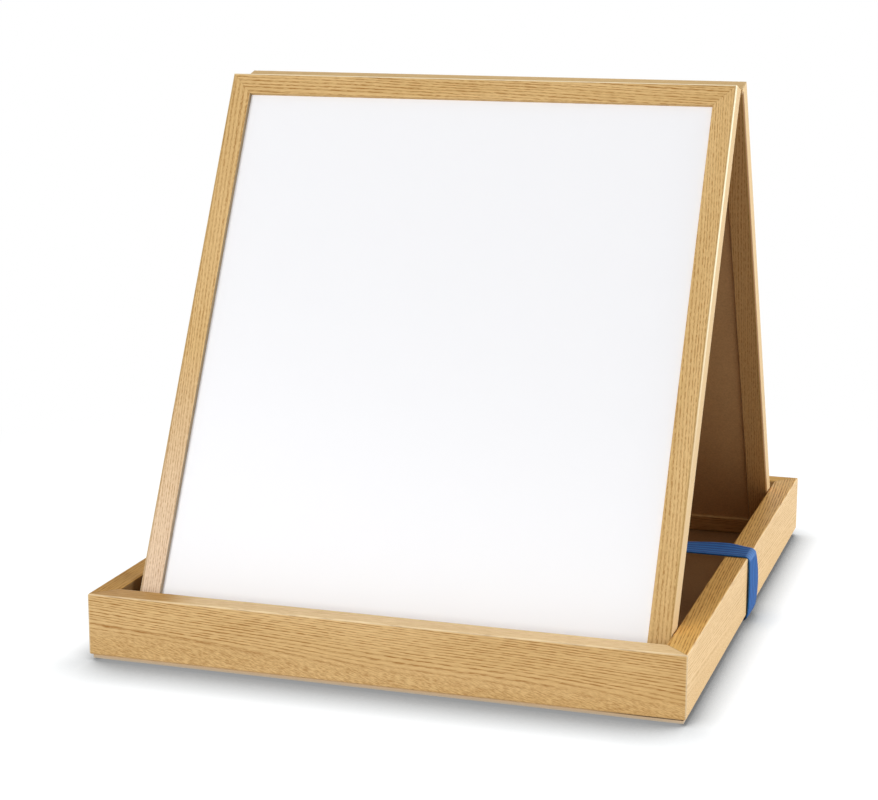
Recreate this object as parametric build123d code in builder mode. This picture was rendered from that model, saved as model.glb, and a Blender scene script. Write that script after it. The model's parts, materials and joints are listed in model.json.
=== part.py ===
from build123d import *

import os
from math import asin, atan2, ceil, cos, degrees, hypot, sin

# Desk whiteboard easel: two framed magnetic boards, hinged along the top, stand as an A in a
# shallow storage tray, with an elastic strap looped round the tray.
# Millimetres. The origin is under the middle of the tray, on the surface that it stands on.
# +X runs to the right along the front, +Y to the back and +Z up.

# ---------------------------------------------------------------- driving dimensions

# Tray: four mitred rails on a thin floor, wide enough for the boards to stand and lie in it
tray_depth = 500.0  # over the front and back rails
rail_height = 46.0
rail_thickness = 18.0
rail_edge_radius = 1.2  # foil-wrapped long edges
board_side_play = 3.5  # each side of the boards, when they stand in the middle
board_side_gap = 0.5  # between the boards and the right rail, where they stand
floor_thickness = 3.2
floor_inset = 2.0  # from the outer faces of the rails to the edge of the floor

# Tray: dowels across the mitres, two in each corner
dowel_diameter = 5.0
dowel_length = 16.0
dowel_end_gap = 0.5  # free length of the hole past each end of the dowel
lower_dowel_height = 17.0  # above the underside of the rails
upper_dowel_height = 32.0

# Tray: screws up through the floor, and the feet
floor_screw_radius = 1.6
floor_screw_head_radius = 3.2
floor_screw_length = 15.0
floor_screw_spacing = 150.0  # at most, along each rail
floor_screw_corner_margin = 60.0  # from a tray corner to its first screw
foot_diameter = 16.0
foot_thickness = 2.0
foot_margin = 36.0  # from the outer faces of the tray to the middle of a foot

# Elastic strap
strap_width = 26.0
strap_thickness = 1.2
strap_bow = 2.6  # how far it stands off the side rails at mid height
strap_corner_radius = 1.2
strap_gap = 0.3  # between the strap and the tray
strap_centre = 0.0  # along Y

# Boards: a mitred and grooved frame round a three-layer board
board_width = 397.0
board_height = 450.0  # along the outer face
frame_thickness = 18.0
frame_face_width = 16.4
frame_edge_radius = 0.8
top_bevel = 4.0  # the inner face is this much taller than the outer face
face_recess = 3.5  # from the outer face of the frame to the writing sheet
groove_depth = 8.0
panel_edge_gap = 0.5  # between the edge of the layers and the bottom of the groove
sheet_thickness = 0.5  # enamelled steel, which makes the board magnetic
core_thickness = 8.0
backing_thickness = 3.0
rest_gap = 0.3  # between a board and the tray, at the floor and at the rail

# Boards: V-shaped nails across the mitres, driven in from the inner face
nail_setback = 4.6  # from the outer edges of the frame to the bend of the nail
nail_leg = 3.4
nail_thickness = 0.6
nail_depth = 10.0

# Hinges: two butt hinges on the inner faces of the top rails
hinge_length = 50.0
hinge_margin = 80.0  # from the side of the board to the middle of a hinge
hinge_rise = 1.7  # from the top edge of the inner face up to the pin's axis
knuckle_radius = 2.5
knuckle_gap = 0.3  # between neighbouring knuckles, along the pin
leaf_thickness = 1.2
leaf_width = 15.0  # from the pin's axis to the free edge
leaf_corner_radius = 1.5
leaf_relief = 0.4  # between a leaf and the other leaf's knuckles
pin_radius = 1.2
pin_clearance = 0.05
pin_overhang = 0.5  # at each end of the hinge
leaf_screw_radius = 1.4
leaf_screw_head_radius = 2.6
leaf_screw_length = 12.0
leaf_screw_count = 3
leaf_screw_edge = 6.5  # from the free edge of the leaf to the screws
leaf_screw_margin = 8.0  # from the end of the leaf to its first screw

# Every screw
head_clearance = 0.05
drive_width = 0.7
drive_depth = 0.8
point_length = 2.5
point_radius = 0.4  # at the blunt end of the point

# ---------------------------------------------------------------- places worked out from them

tray_width = board_width + 2 * (board_side_play + rail_thickness)  # over the side rails
board_offset = board_side_play - board_side_gap  # to the right of the middle of the tray

floor_bottom = foot_thickness
floor_top = floor_bottom + floor_thickness
rail_top = floor_top + rail_height
rail_centre = rail_thickness / 2  # in from the outer face

inner_height = board_height + top_bevel
frame_inner_side = knuckle_radius  # the inner faces lie against the leaves, a knuckle's radius away
frame_outer_side = frame_inner_side + frame_thickness
board_top = -hinge_rise - top_bevel  # heights along the board, from the pin's axis
board_bottom = board_top - board_height
sheet_side = frame_outer_side - face_recess
core_side = sheet_side - sheet_thickness
backing_side = core_side - core_thickness
groove_side = backing_side - backing_thickness
groove_width = sheet_side - groove_side
layer_width = board_width - 2 * (frame_face_width - groove_depth + panel_edge_gap)
layer_height = board_height - 2 * (frame_face_width - groove_depth + panel_edge_gap)

# Each board leans until its inner bottom edge meets the floor and its outer one meets the rail.
reach_down = hinge_rise + inner_height
rail_reach = tray_depth / 2 - rail_thickness - rest_gap
lean = asin(rail_reach / hypot(reach_down, frame_outer_side)) - atan2(frame_outer_side, reach_down)
pin_height = floor_top + rest_gap + reach_down * cos(lean) - frame_inner_side * sin(lean)

# In the plane of a board, X runs across it, Y up it and Z out of its writing face. The back
# board is the front one turned half a turn.
pin_centre = Vector(board_offset, 0, pin_height)
board_planes = {
    "front": Plane(origin=pin_centre, x_dir=(1, 0, 0), z_dir=(0, -cos(lean), sin(lean))),
    "back": Plane(origin=pin_centre, x_dir=(-1, 0, 0), z_dir=(0, cos(lean), sin(lean))),
}
hinge_places = {
    "left": -(board_width / 2 - hinge_margin),
    "right": board_width / 2 - hinge_margin,
}
# The front leaf has the two end knuckles and the back leaf the middle one.
knuckle_length = (hinge_length - 2 * knuckle_gap) / 3
knuckle_starts = [n * (knuckle_length + knuckle_gap) - hinge_length / 2 for n in range(3)]
own_knuckles = {"front": [0, 2], "back": [1]}

os.makedirs("parts", exist_ok=True)


# ---------------------------------------------------------------- helpers


def write_piece(piece, name):
    """Label a finished piece and write it as the STEP file of its node."""
    piece.part.label = name
    export_step(piece.part, f"parts/{name}.step")


def local_plane(base, point, x_dir, z_dir):
    """Plane at a point of the base plane, with its X and Z given in that plane's directions."""
    frame_axes = (base.x_dir, base.y_dir, base.z_dir)
    world_x = sum((axis * share for axis, share in zip(frame_axes, x_dir)), Vector(0, 0, 0))
    world_z = sum((axis * share for axis, share in zip(frame_axes, z_dir)), Vector(0, 0, 0))
    return Plane(origin=base.from_local_coords(Vector(*point)), x_dir=world_x, z_dir=world_z)


def across_plane(base, x=0.0):
    """Section plane across a board: X up the board, Y out of its face, looking along its width."""
    return local_plane(base, (x, 0, 0), (0, 1, 0), (1, 0, 0))


def upright_plane(base, y=0.0):
    """Section plane up a board: X across it, Y out of its face, extruding downwards."""
    return local_plane(base, (0, y, 0), (1, 0, 0), (0, -1, 0))


def spread(start, end, most):
    """Evenly spaced places from start to end, no further apart than most."""
    gaps = ceil(round((end - start) / most, 6))
    return [start + (end - start) * n / gaps for n in range(gaps + 1)]


# ---------------------------------------------------------------- screws


def make_screws(planes, shank_radius, head_radius, length):
    """Countersunk cross-head screws, one on each plane, with the head's top in the plane."""
    head_depth = head_radius - shank_radius
    down = (Align.CENTER, Align.CENTER, Align.MAX)
    with BuildPart() as screws:
        with Locations(*[plane.offset(-head_depth) for plane in planes]):
            Cylinder(shank_radius, length - head_depth - point_length, align=down)
        with Locations(*[plane.offset(point_length - length) for plane in planes]):
            Cone(point_radius, shank_radius, point_length, align=down)
        with Locations(*planes):
            Cone(shank_radius, head_radius, head_depth, align=down)
            Box(head_radius, drive_width, drive_depth, align=down, mode=Mode.SUBTRACT)
            Box(drive_width, head_radius, drive_depth, align=down, mode=Mode.SUBTRACT)
    return screws


# ---------------------------------------------------------------- tray


def rail_screw_places(length):
    """Places of the floor screws along a rail of this outer length."""
    half = length / 2 - floor_screw_corner_margin
    return spread(-half, half, floor_screw_spacing)


# Each rail lies along X of its own plane, with the outer face towards -Y.
rail_planes = {
    "front": (Plane(origin=(0, -tray_depth / 2, floor_top), x_dir=(1, 0, 0), z_dir=(0, 0, 1)), tray_width),
    "back": (Plane(origin=(0, tray_depth / 2, floor_top), x_dir=(-1, 0, 0), z_dir=(0, 0, 1)), tray_width),
    "right": (Plane(origin=(tray_width / 2, 0, floor_top), x_dir=(0, 1, 0), z_dir=(0, 0, 1)), tray_depth),
    "left": (Plane(origin=(-tray_width / 2, 0, floor_top), x_dir=(0, -1, 0), z_dir=(0, 0, 1)), tray_depth),
}

# Dowels lie square to the mitres, in the middle of the rails' thickness.
dowel_planes = [
    Plane(
        origin=(
            side * (tray_width / 2 - rail_centre),
            end * (tray_depth / 2 - rail_centre),
            floor_top + height,
        ),
        z_dir=(side, -end, 0),
    )
    for side in (-1, 1)
    for end in (-1, 1)
    for height in (lower_dowel_height, upper_dowel_height)
]

# Floor screws are driven upwards, so their planes face down at the underside of the floor.
floor_screw_planes = []
for base, length in rail_planes.values():
    for place in rail_screw_places(length):
        floor_screw_planes.append(
            local_plane(base, (place, rail_centre, -floor_thickness), (1, 0, 0), (0, 0, -1))
        )

for side, (base, length) in rail_planes.items():
    with BuildPart() as rail:
        with BuildSketch(local_plane(base, (-length / 2, 0, 0), (0, 1, 0), (1, 0, 0))) as section:
            Rectangle(rail_thickness, rail_height, align=(Align.MIN, Align.MIN))
            fillet(section.vertices(), rail_edge_radius)
        extrude(amount=length)
        for end in (-1, 1):
            mitre = local_plane(base, (end * length / 2, 0, 0), (0, 0, 1), (-end, -1, 0))
            split(bisect_by=mitre, keep=Keep.TOP)
        with Locations(*dowel_planes):
            Cylinder(dowel_diameter / 2, dowel_length + 2 * dowel_end_gap, mode=Mode.SUBTRACT)
        with Locations(*[plane.offset(-floor_thickness) for plane in floor_screw_planes]):
            Hole(floor_screw_radius, floor_screw_length - floor_thickness)
    write_piece(rail, f"tray_{side}_rail")

with BuildPart() as tray_floor:
    with BuildSketch(Plane.XY.offset(floor_bottom)):
        Rectangle(tray_width - 2 * floor_inset, tray_depth - 2 * floor_inset)
    extrude(amount=floor_thickness)
    with Locations(*floor_screw_planes):
        CounterSinkHole(
            floor_screw_radius + head_clearance, floor_screw_head_radius + head_clearance, floor_thickness
        )
write_piece(tray_floor, "tray_floor")

with BuildPart() as tray_corner_dowels:
    with Locations(*dowel_planes):
        Cylinder(dowel_diameter / 2, dowel_length)
write_piece(tray_corner_dowels, "tray_corner_dowels")

tray_floor_screws = make_screws(
    floor_screw_planes, floor_screw_radius, floor_screw_head_radius, floor_screw_length
)
write_piece(tray_floor_screws, "tray_floor_screws")

with BuildPart() as rubber_feet:
    with BuildSketch(Plane.XY):
        with GridLocations(tray_width - 2 * foot_margin, tray_depth - 2 * foot_margin, 2, 2):
            Circle(foot_diameter / 2)
    extrude(amount=foot_thickness)
write_piece(rubber_feet, "rubber_feet")

# ---------------------------------------------------------------- elastic strap

# A closed loop in the XZ plane: flat over the rails and under the floor, bowed at the sides.
strap_side = tray_width / 2 + strap_gap
strap_over = rail_top + strap_gap
strap_under = floor_bottom - strap_gap
strap_middle = (strap_over + strap_under) / 2

with BuildPart() as elastic_strap:
    with BuildSketch(Plane.XZ.offset(-strap_centre)) as loop:
        with BuildLine():
            Line((-strap_side, strap_over), (strap_side, strap_over))
            ThreePointArc(
                (strap_side, strap_over), (strap_side + strap_bow, strap_middle), (strap_side, strap_under)
            )
            Line((strap_side, strap_under), (-strap_side, strap_under))
            ThreePointArc(
                (-strap_side, strap_under), (-strap_side - strap_bow, strap_middle), (-strap_side, strap_over)
            )
        make_face()
        inside = loop.sketch
        offset(amount=strap_thickness, kind=Kind.INTERSECTION)
        fillet(loop.vertices(), strap_corner_radius + strap_thickness)
        add(inside, mode=Mode.SUBTRACT)
    extrude(amount=strap_width / 2, both=True)
write_piece(elastic_strap, "elastic_strap")

# ---------------------------------------------------------------- boards


def mitre_plane(base, side, end):
    """Plane through a corner of the frame that keeps the rail's half on its upper side."""
    corner_height = board_top if end > 0 else board_bottom
    return local_plane(base, (side * board_width / 2, corner_height, 0), (0, 0, 1), (-side, end, 0))


def nail_sketch(base):
    """Outlines of the V nails at the four corners, on the inner face of a board's frame."""
    with BuildSketch(base.offset(frame_inner_side)) as nails:
        for side in (-1, 1):
            for end, edge in ((1, board_top), (-1, board_bottom)):
                bend = (side * (board_width / 2 - nail_setback), edge - end * nail_setback)
                across = (Align.MAX if side > 0 else Align.MIN, Align.CENTER)
                along = (Align.CENTER, Align.MAX if end > 0 else Align.MIN)
                with Locations(bend):
                    Rectangle(nail_leg, nail_thickness, align=across)
                    Rectangle(nail_thickness, nail_leg, align=along)
                    Rectangle(nail_thickness, nail_thickness)
    return nails.sketch


def leaf_screw_planes(base, out):
    """Planes of the hinge screws of one board, facing the other board, at this distance out."""
    height = -leaf_width + leaf_screw_edge
    reach = hinge_length / 2 - leaf_screw_margin
    places = spread(-reach, reach, 2 * reach / (leaf_screw_count - 1))
    return [
        local_plane(base, (middle + place, height, out), (1, 0, 0), (0, 0, -1))
        for middle in hinge_places.values()
        for place in places
    ]


def member_groove(edge, towards):
    """Groove for the board's layers, cut into the open section of a member from its inner edge."""
    with Locations((edge, groove_side)):
        Rectangle(
            groove_depth,
            groove_width,
            align=(Align.MIN if towards > 0 else Align.MAX, Align.MIN),
            mode=Mode.SUBTRACT,
        )


def make_stile(base, side):
    """Upright member of a board's frame on one side, mitred at both ends."""
    with BuildPart() as stile:
        with BuildSketch(upright_plane(base, board_top)) as section:
            with Locations((side * board_width / 2, frame_inner_side)):
                Rectangle(
                    frame_face_width,
                    frame_thickness,
                    align=(Align.MAX if side > 0 else Align.MIN, Align.MIN),
                )
            fillet(section.vertices(), frame_edge_radius)
            member_groove(side * (board_width / 2 - frame_face_width), side)
        extrude(amount=board_height)
        for end in (-1, 1):
            split(bisect_by=mitre_plane(base, side, end), keep=Keep.BOTTOM)
        extrude(nail_sketch(base), amount=nail_depth, mode=Mode.SUBTRACT)
    return stile


def make_rail(base, end):
    """Level member of a board's frame, mitred at both ends. The top one is bevelled."""
    outer_edge = board_top if end > 0 else board_bottom
    inner_edge = outer_edge + (top_bevel if end > 0 else 0)
    opening_edge = outer_edge - end * frame_face_width
    with BuildPart() as rail:
        with BuildSketch(across_plane(base)) as section:
            with BuildLine():
                Polyline(
                    (opening_edge, frame_inner_side),
                    (inner_edge, frame_inner_side),
                    (outer_edge, frame_outer_side),
                    (opening_edge, frame_outer_side),
                    close=True,
                )
            make_face()
            fillet(section.vertices(), frame_edge_radius)
            member_groove(opening_edge, end)
        extrude(amount=board_width / 2, both=True)
        for side in (-1, 1):
            split(bisect_by=mitre_plane(base, side, end), keep=Keep.TOP)
        extrude(nail_sketch(base), amount=nail_depth, mode=Mode.SUBTRACT)
        if end > 0:
            with Locations(*leaf_screw_planes(base, frame_inner_side)):
                Hole(leaf_screw_radius, leaf_screw_length - leaf_thickness)
    return rail


def make_layer(base, out, thickness):
    """One flat layer of the board, whose outer surface stands at this distance out."""
    with BuildPart() as layer:
        with BuildSketch(base.offset(out)):
            with Locations((0, (board_top + board_bottom) / 2)):
                Rectangle(layer_width, layer_height)
        extrude(amount=-thickness)
    return layer


def make_leaf(base, middle, own):
    """One leaf of a butt hinge, with its own knuckles rolled round the pin."""
    with BuildPart() as leaf:
        with BuildSketch(base.offset(frame_inner_side)) as outline:
            with Locations((middle, 0)):
                Rectangle(hinge_length, leaf_width, align=(Align.CENTER, Align.MAX))
            fillet(outline.vertices().group_by(Axis(base.origin, base.y_dir))[0], leaf_corner_radius)
        extrude(amount=-leaf_thickness)
        for number, start in enumerate(knuckle_starts):
            if number in own:
                with BuildSketch(across_plane(base, middle + start)):
                    Circle(knuckle_radius)
                extrude(amount=knuckle_length)
            else:
                low = max(start - knuckle_gap, -hinge_length / 2)
                high = min(start + knuckle_length + knuckle_gap, hinge_length / 2)
                with BuildSketch(across_plane(base, middle + low)):
                    Circle(knuckle_radius + leaf_relief)
                extrude(amount=high - low, mode=Mode.SUBTRACT)
        with BuildSketch(across_plane(base, middle - hinge_length / 2)):
            Circle(pin_radius + pin_clearance)
        extrude(amount=hinge_length, mode=Mode.SUBTRACT)
        with Locations(*leaf_screw_planes(base, frame_inner_side - leaf_thickness)):
            CounterSinkHole(
                leaf_screw_radius + head_clearance, leaf_screw_head_radius + head_clearance, leaf_thickness
            )
    return leaf


for place, base in board_planes.items():
    write_piece(make_stile(base, -1), f"{place}_left_stile")
    write_piece(make_stile(base, 1), f"{place}_right_stile")
    write_piece(make_rail(base, 1), f"{place}_top_rail")
    write_piece(make_rail(base, -1), f"{place}_bottom_rail")
    write_piece(make_layer(base, sheet_side, sheet_thickness), f"{place}_writing_sheet")
    write_piece(make_layer(base, core_side, core_thickness), f"{place}_core_board")
    write_piece(make_layer(base, backing_side, backing_thickness), f"{place}_backing_board")

    with BuildPart() as corner_nails:
        extrude(nail_sketch(base), amount=nail_depth)
    write_piece(corner_nails, f"{place}_corner_nails")

    hinge_screws = make_screws(
        leaf_screw_planes(base, frame_inner_side - leaf_thickness),
        leaf_screw_radius,
        leaf_screw_head_radius,
        leaf_screw_length,
    )
    write_piece(hinge_screws, f"{place}_hinge_screws")

    # Hinges are named as seen from the front, so the turned back board swaps them.
    facing = base.x_dir.X
    for hand, middle in hinge_places.items():
        write_piece(make_leaf(base, facing * middle, own_knuckles[place]), f"{hand}_hinge_{place}_leaf")

with BuildPart() as hinge_pins:
    for middle in hinge_places.values():
        with BuildSketch(across_plane(board_planes["front"], middle - hinge_length / 2 - pin_overhang)):
            Circle(pin_radius)
        extrude(amount=hinge_length + 2 * pin_overhang)
write_piece(hinge_pins, "hinge_pins")

print(f"lean {degrees(lean):.3f} degrees, pin axis {pin_height:.3f} mm up")
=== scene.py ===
import json
import logging
from dataclasses import dataclass
from enum import Enum
from math import pi, radians

import bmesh
import bpy
from mathutils import Euler, Matrix, Vector


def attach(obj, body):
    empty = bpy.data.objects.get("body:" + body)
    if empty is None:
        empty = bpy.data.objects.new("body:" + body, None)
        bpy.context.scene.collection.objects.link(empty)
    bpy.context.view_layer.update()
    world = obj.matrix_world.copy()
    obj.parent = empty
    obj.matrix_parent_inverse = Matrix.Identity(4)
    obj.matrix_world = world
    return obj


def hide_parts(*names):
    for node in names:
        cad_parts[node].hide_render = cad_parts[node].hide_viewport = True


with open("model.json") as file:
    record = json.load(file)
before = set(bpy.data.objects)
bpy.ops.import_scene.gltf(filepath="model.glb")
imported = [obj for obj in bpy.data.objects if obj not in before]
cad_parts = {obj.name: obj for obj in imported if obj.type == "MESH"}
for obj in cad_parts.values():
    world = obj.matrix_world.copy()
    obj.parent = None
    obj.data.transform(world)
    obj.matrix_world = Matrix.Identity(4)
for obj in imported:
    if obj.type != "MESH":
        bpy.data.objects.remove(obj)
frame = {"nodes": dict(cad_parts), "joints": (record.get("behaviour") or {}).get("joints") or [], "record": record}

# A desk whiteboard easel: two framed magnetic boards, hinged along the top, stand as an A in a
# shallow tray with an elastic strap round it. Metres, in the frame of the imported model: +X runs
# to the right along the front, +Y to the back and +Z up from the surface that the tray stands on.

log = logging.getLogger("easel")

MM = 0.001

Tree = bpy.types.NodeTree
Socket = bpy.types.NodeSocket


# ---------------------------------------------------------------- colours and nodes


def linear(hex_colour: str) -> tuple[float, float, float, float]:
    """Turn an sRGB hex colour into the linear colour that a shader takes.

    Args:
        hex_colour: The colour as #RRGGBB.

    Returns:
        Red, green, blue and an alpha of 1.
    """
    channels = [int(hex_colour[start : start + 2], 16) / 255 for start in (1, 3, 5)]
    red, green, blue = (
        value / 12.92 if value <= 0.04045 else ((value + 0.055) / 1.055) ** 2.4 for value in channels
    )
    return red, green, blue, 1.0


def add_node(
    tree: Tree,
    kind: str,
    inputs: dict[str | int, object] | None = None,
    **settings: object,
) -> bpy.types.Node:
    """Add a node with its settings, and give its inputs values or links.

    Args:
        tree: The node tree that gets the node.
        kind: The node's type, such as ShaderNodeTexNoise.
        inputs: Values, or sockets to link from, by the input's name or number.
        settings: The node's own properties.

    Returns:
        The new node.
    """
    node = tree.nodes.new(kind)
    for name, value in settings.items():
        setattr(node, name, value)
    for socket, value in (inputs or {}).items():
        if isinstance(value, Socket):
            tree.links.new(value, node.inputs[socket])
        else:
            node.inputs[socket].default_value = value
    return node


def new_material(name: str) -> tuple[bpy.types.Material, Tree]:
    """Make a material with an empty node tree.

    Args:
        name: The material's name.

    Returns:
        The material and its node tree.
    """
    material = bpy.data.materials.new(name)
    material.use_nodes = True
    material.node_tree.nodes.clear()
    return material, material.node_tree


def dress(node: str, material: bpy.types.Material) -> None:
    """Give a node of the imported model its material.

    Args:
        node: The node's name.
        material: The material.
    """
    target = frame["nodes"][node]
    target.data.materials.clear()
    target.data.materials.append(material)
    log.info("%s: %s", node, material.name)


# ---------------------------------------------------------------- where things are


@dataclass(frozen=True)
class GrainAxes:
    """The axes of a wooden member: X along its grain, Y in from its outer edge, Z through it."""

    origin: Vector  # in the middle of the outer edge
    along: Vector
    inward: Vector
    half_length: float  # along the outer edge, from the middle to the point of the mitre

    def rotation(self) -> Euler:
        """Return the turn from the object's axes to the member's."""
        through = self.along.cross(self.inward)
        return Matrix((self.along, self.inward, through)).transposed().to_euler()


@dataclass(frozen=True)
class BoardPlane:
    """The plane of a standing board, through the axis of its hinges."""

    origin: Vector
    across: Vector
    up: Vector
    out: Vector

    def at(self, across: float, up: float) -> Vector:
        """Find a point in the plane.

        Args:
            across: How far across the board it is.
            up: How far up the board it is.

        Returns:
            The point.
        """
        return self.origin + self.across * across + self.up * up


class Side(Enum):
    """The two boards of the easel, by the side of the tray that they face."""

    FRONT = "front"
    BACK = "back"

    def plane(self) -> BoardPlane:
        """Work out the plane of this side's board from the record's joint and mount.

        Returns:
            The plane.
        """
        joint = next(j for j in frame["joints"] if j["name"] == f"{self.value}_board_swing")
        mounts = frame["record"]["mounts"]
        mount = next(m for m in mounts if m["name"] == f"{self.value}_writing_face")
        out = Vector(mount["axis"]).normalized()
        across = Vector((1, 0, 0)) if self is Side.FRONT else Vector((-1, 0, 0))
        return BoardPlane(Vector(joint["pos_m"]), across, out.cross(across), out)


class TrayRail(Enum):
    """The four rails of the tray."""

    FRONT = "front"
    BACK = "back"
    RIGHT = "right"
    LEFT = "left"


class FrameMember(Enum):
    """The four members of a board's frame, as seen from its writing face."""

    LEFT_STILE = "left_stile"
    RIGHT_STILE = "right_stile"
    TOP_RAIL = "top_rail"
    BOTTOM_RAIL = "bottom_rail"

    def is_stile(self) -> bool:
        """Tell whether the member stands upright."""
        return self in (FrameMember.LEFT_STILE, FrameMember.RIGHT_STILE)


class Hand(Enum):
    """The two ends of the ridge, as seen from the front."""

    LEFT = "left"
    RIGHT = "right"


class Axis(Enum):
    """The three axes, by their place in a vector."""

    X = 0
    Y = 1
    Z = 2


# ---------------------------------------------------------------- finishes


@dataclass(frozen=True)
class Sawing:
    """Where the tree's heart lies from a member, and how its rings and pores show."""

    heart: Vector
    tilt_in: float  # of the heart from the member's length, towards its inner edge
    tilt_through: float  # and through the member
    ring_width: float
    pore_length: float
    contrast: float


class Figure(Enum):
    """The figures of the printed oak."""

    RIFT = Sawing(Vector((0, 52 * MM, -38 * MM)), radians(0.6), radians(-0.4), 1.25 * MM, 9 * MM, 1.0)
    SLANT = Sawing(Vector((0, 44 * MM, -30 * MM)), radians(4.0), radians(-1.0), 1.25 * MM, 3.2 * MM, 0.82)
    FALL = Sawing(Vector((0, 47 * MM, -34 * MM)), radians(-2.5), radians(0.6), 1.25 * MM, 6.5 * MM, 1.15)
    CROWN = Sawing(Vector((0, 40 * MM, 2 * MM)), radians(1.4), radians(0.9), 1.25 * MM, 9 * MM, 1.22)
    LONG = Sawing(Vector((0, 40 * MM, 2 * MM)), radians(1.4), radians(0.9), 1.25 * MM, 12 * MM, 1.25)


@dataclass(frozen=True)
class ArrisHighlight:
    """How strong a painted highlight is along the outer arris of a member's show face."""

    share: float = 0.1
    reach: float = 1.3 * MM  # down the side from that arris
    start: float | None = None  # where along the member it begins, or None where it is even
    corners: float = 0.1  # how strong the painted highlight is at the two outer corners


@dataclass(frozen=True)
class Wash:
    """A tone that covers the foil's faces between two depths through a member."""

    share: float
    tone: str
    low: float = 0.0
    high: float = 1.0
    grain: float = 1.0  # strength of the grain there
    first_tone: str | None = None  # before this place along the member, where the tone changes
    change: float = 0.0


@dataclass(frozen=True)
class Fade:
    """How far the wood under the grain takes a tone towards the end of a member."""

    share: float = 0.0
    tone: str = "#FFE9D6"


@dataclass(frozen=True)
class OuterSide:
    """How a member's outer side differs from its show face, with painted light on it and painted shade where the
    print turns onto it.
    """

    fade: float = 0.0  # how far painted light pales the print
    turn: float = 0.0  # how far painted shade darkens the print where it turns over the outer arris
    grain: float = 1.0  # strength of the grain
    dark_strip: float = 0.0  # up to here through the member, the outer side is darkened


@dataclass(frozen=True)
class LipShade:
    """How far painted shade darkens the inner side of a member."""

    share: float = 0.0
    # the colour of the painted shade
    tone: str = "#847A6A"


@dataclass(frozen=True)
class Member:
    """One foil-wrapped member: how its print lies, and what shows at its ends and edges."""

    axes: GrainAxes
    face: float  # how far through the member its show face is
    depth: float  # how far in from the outer side its inner side is
    figure: Figure
    seed: float  # shift of the print, so that no two members look the same
    wash: Wash
    # painted highlight along the outer arris and at its corners
    wear: ArrisHighlight = ArrisHighlight()
    fade: Fade = Fade()
    # painted light and shade on the outer side, and its dark strip
    outer: OuterSide = OuterSide()
    # painted shade on the inner side
    lip: LipShade = LipShade()
    seam: float = 0.1  # strength of the shadow where it meets the next member
    gloss: float = 0.05


@dataclass(frozen=True)
class Canvas:
    """The node tree of one member's foil, and where on the member it draws."""

    tree: Tree
    place: Socket  # along the member's axes
    along: Socket
    inward: Socket
    through: Socket


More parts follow.
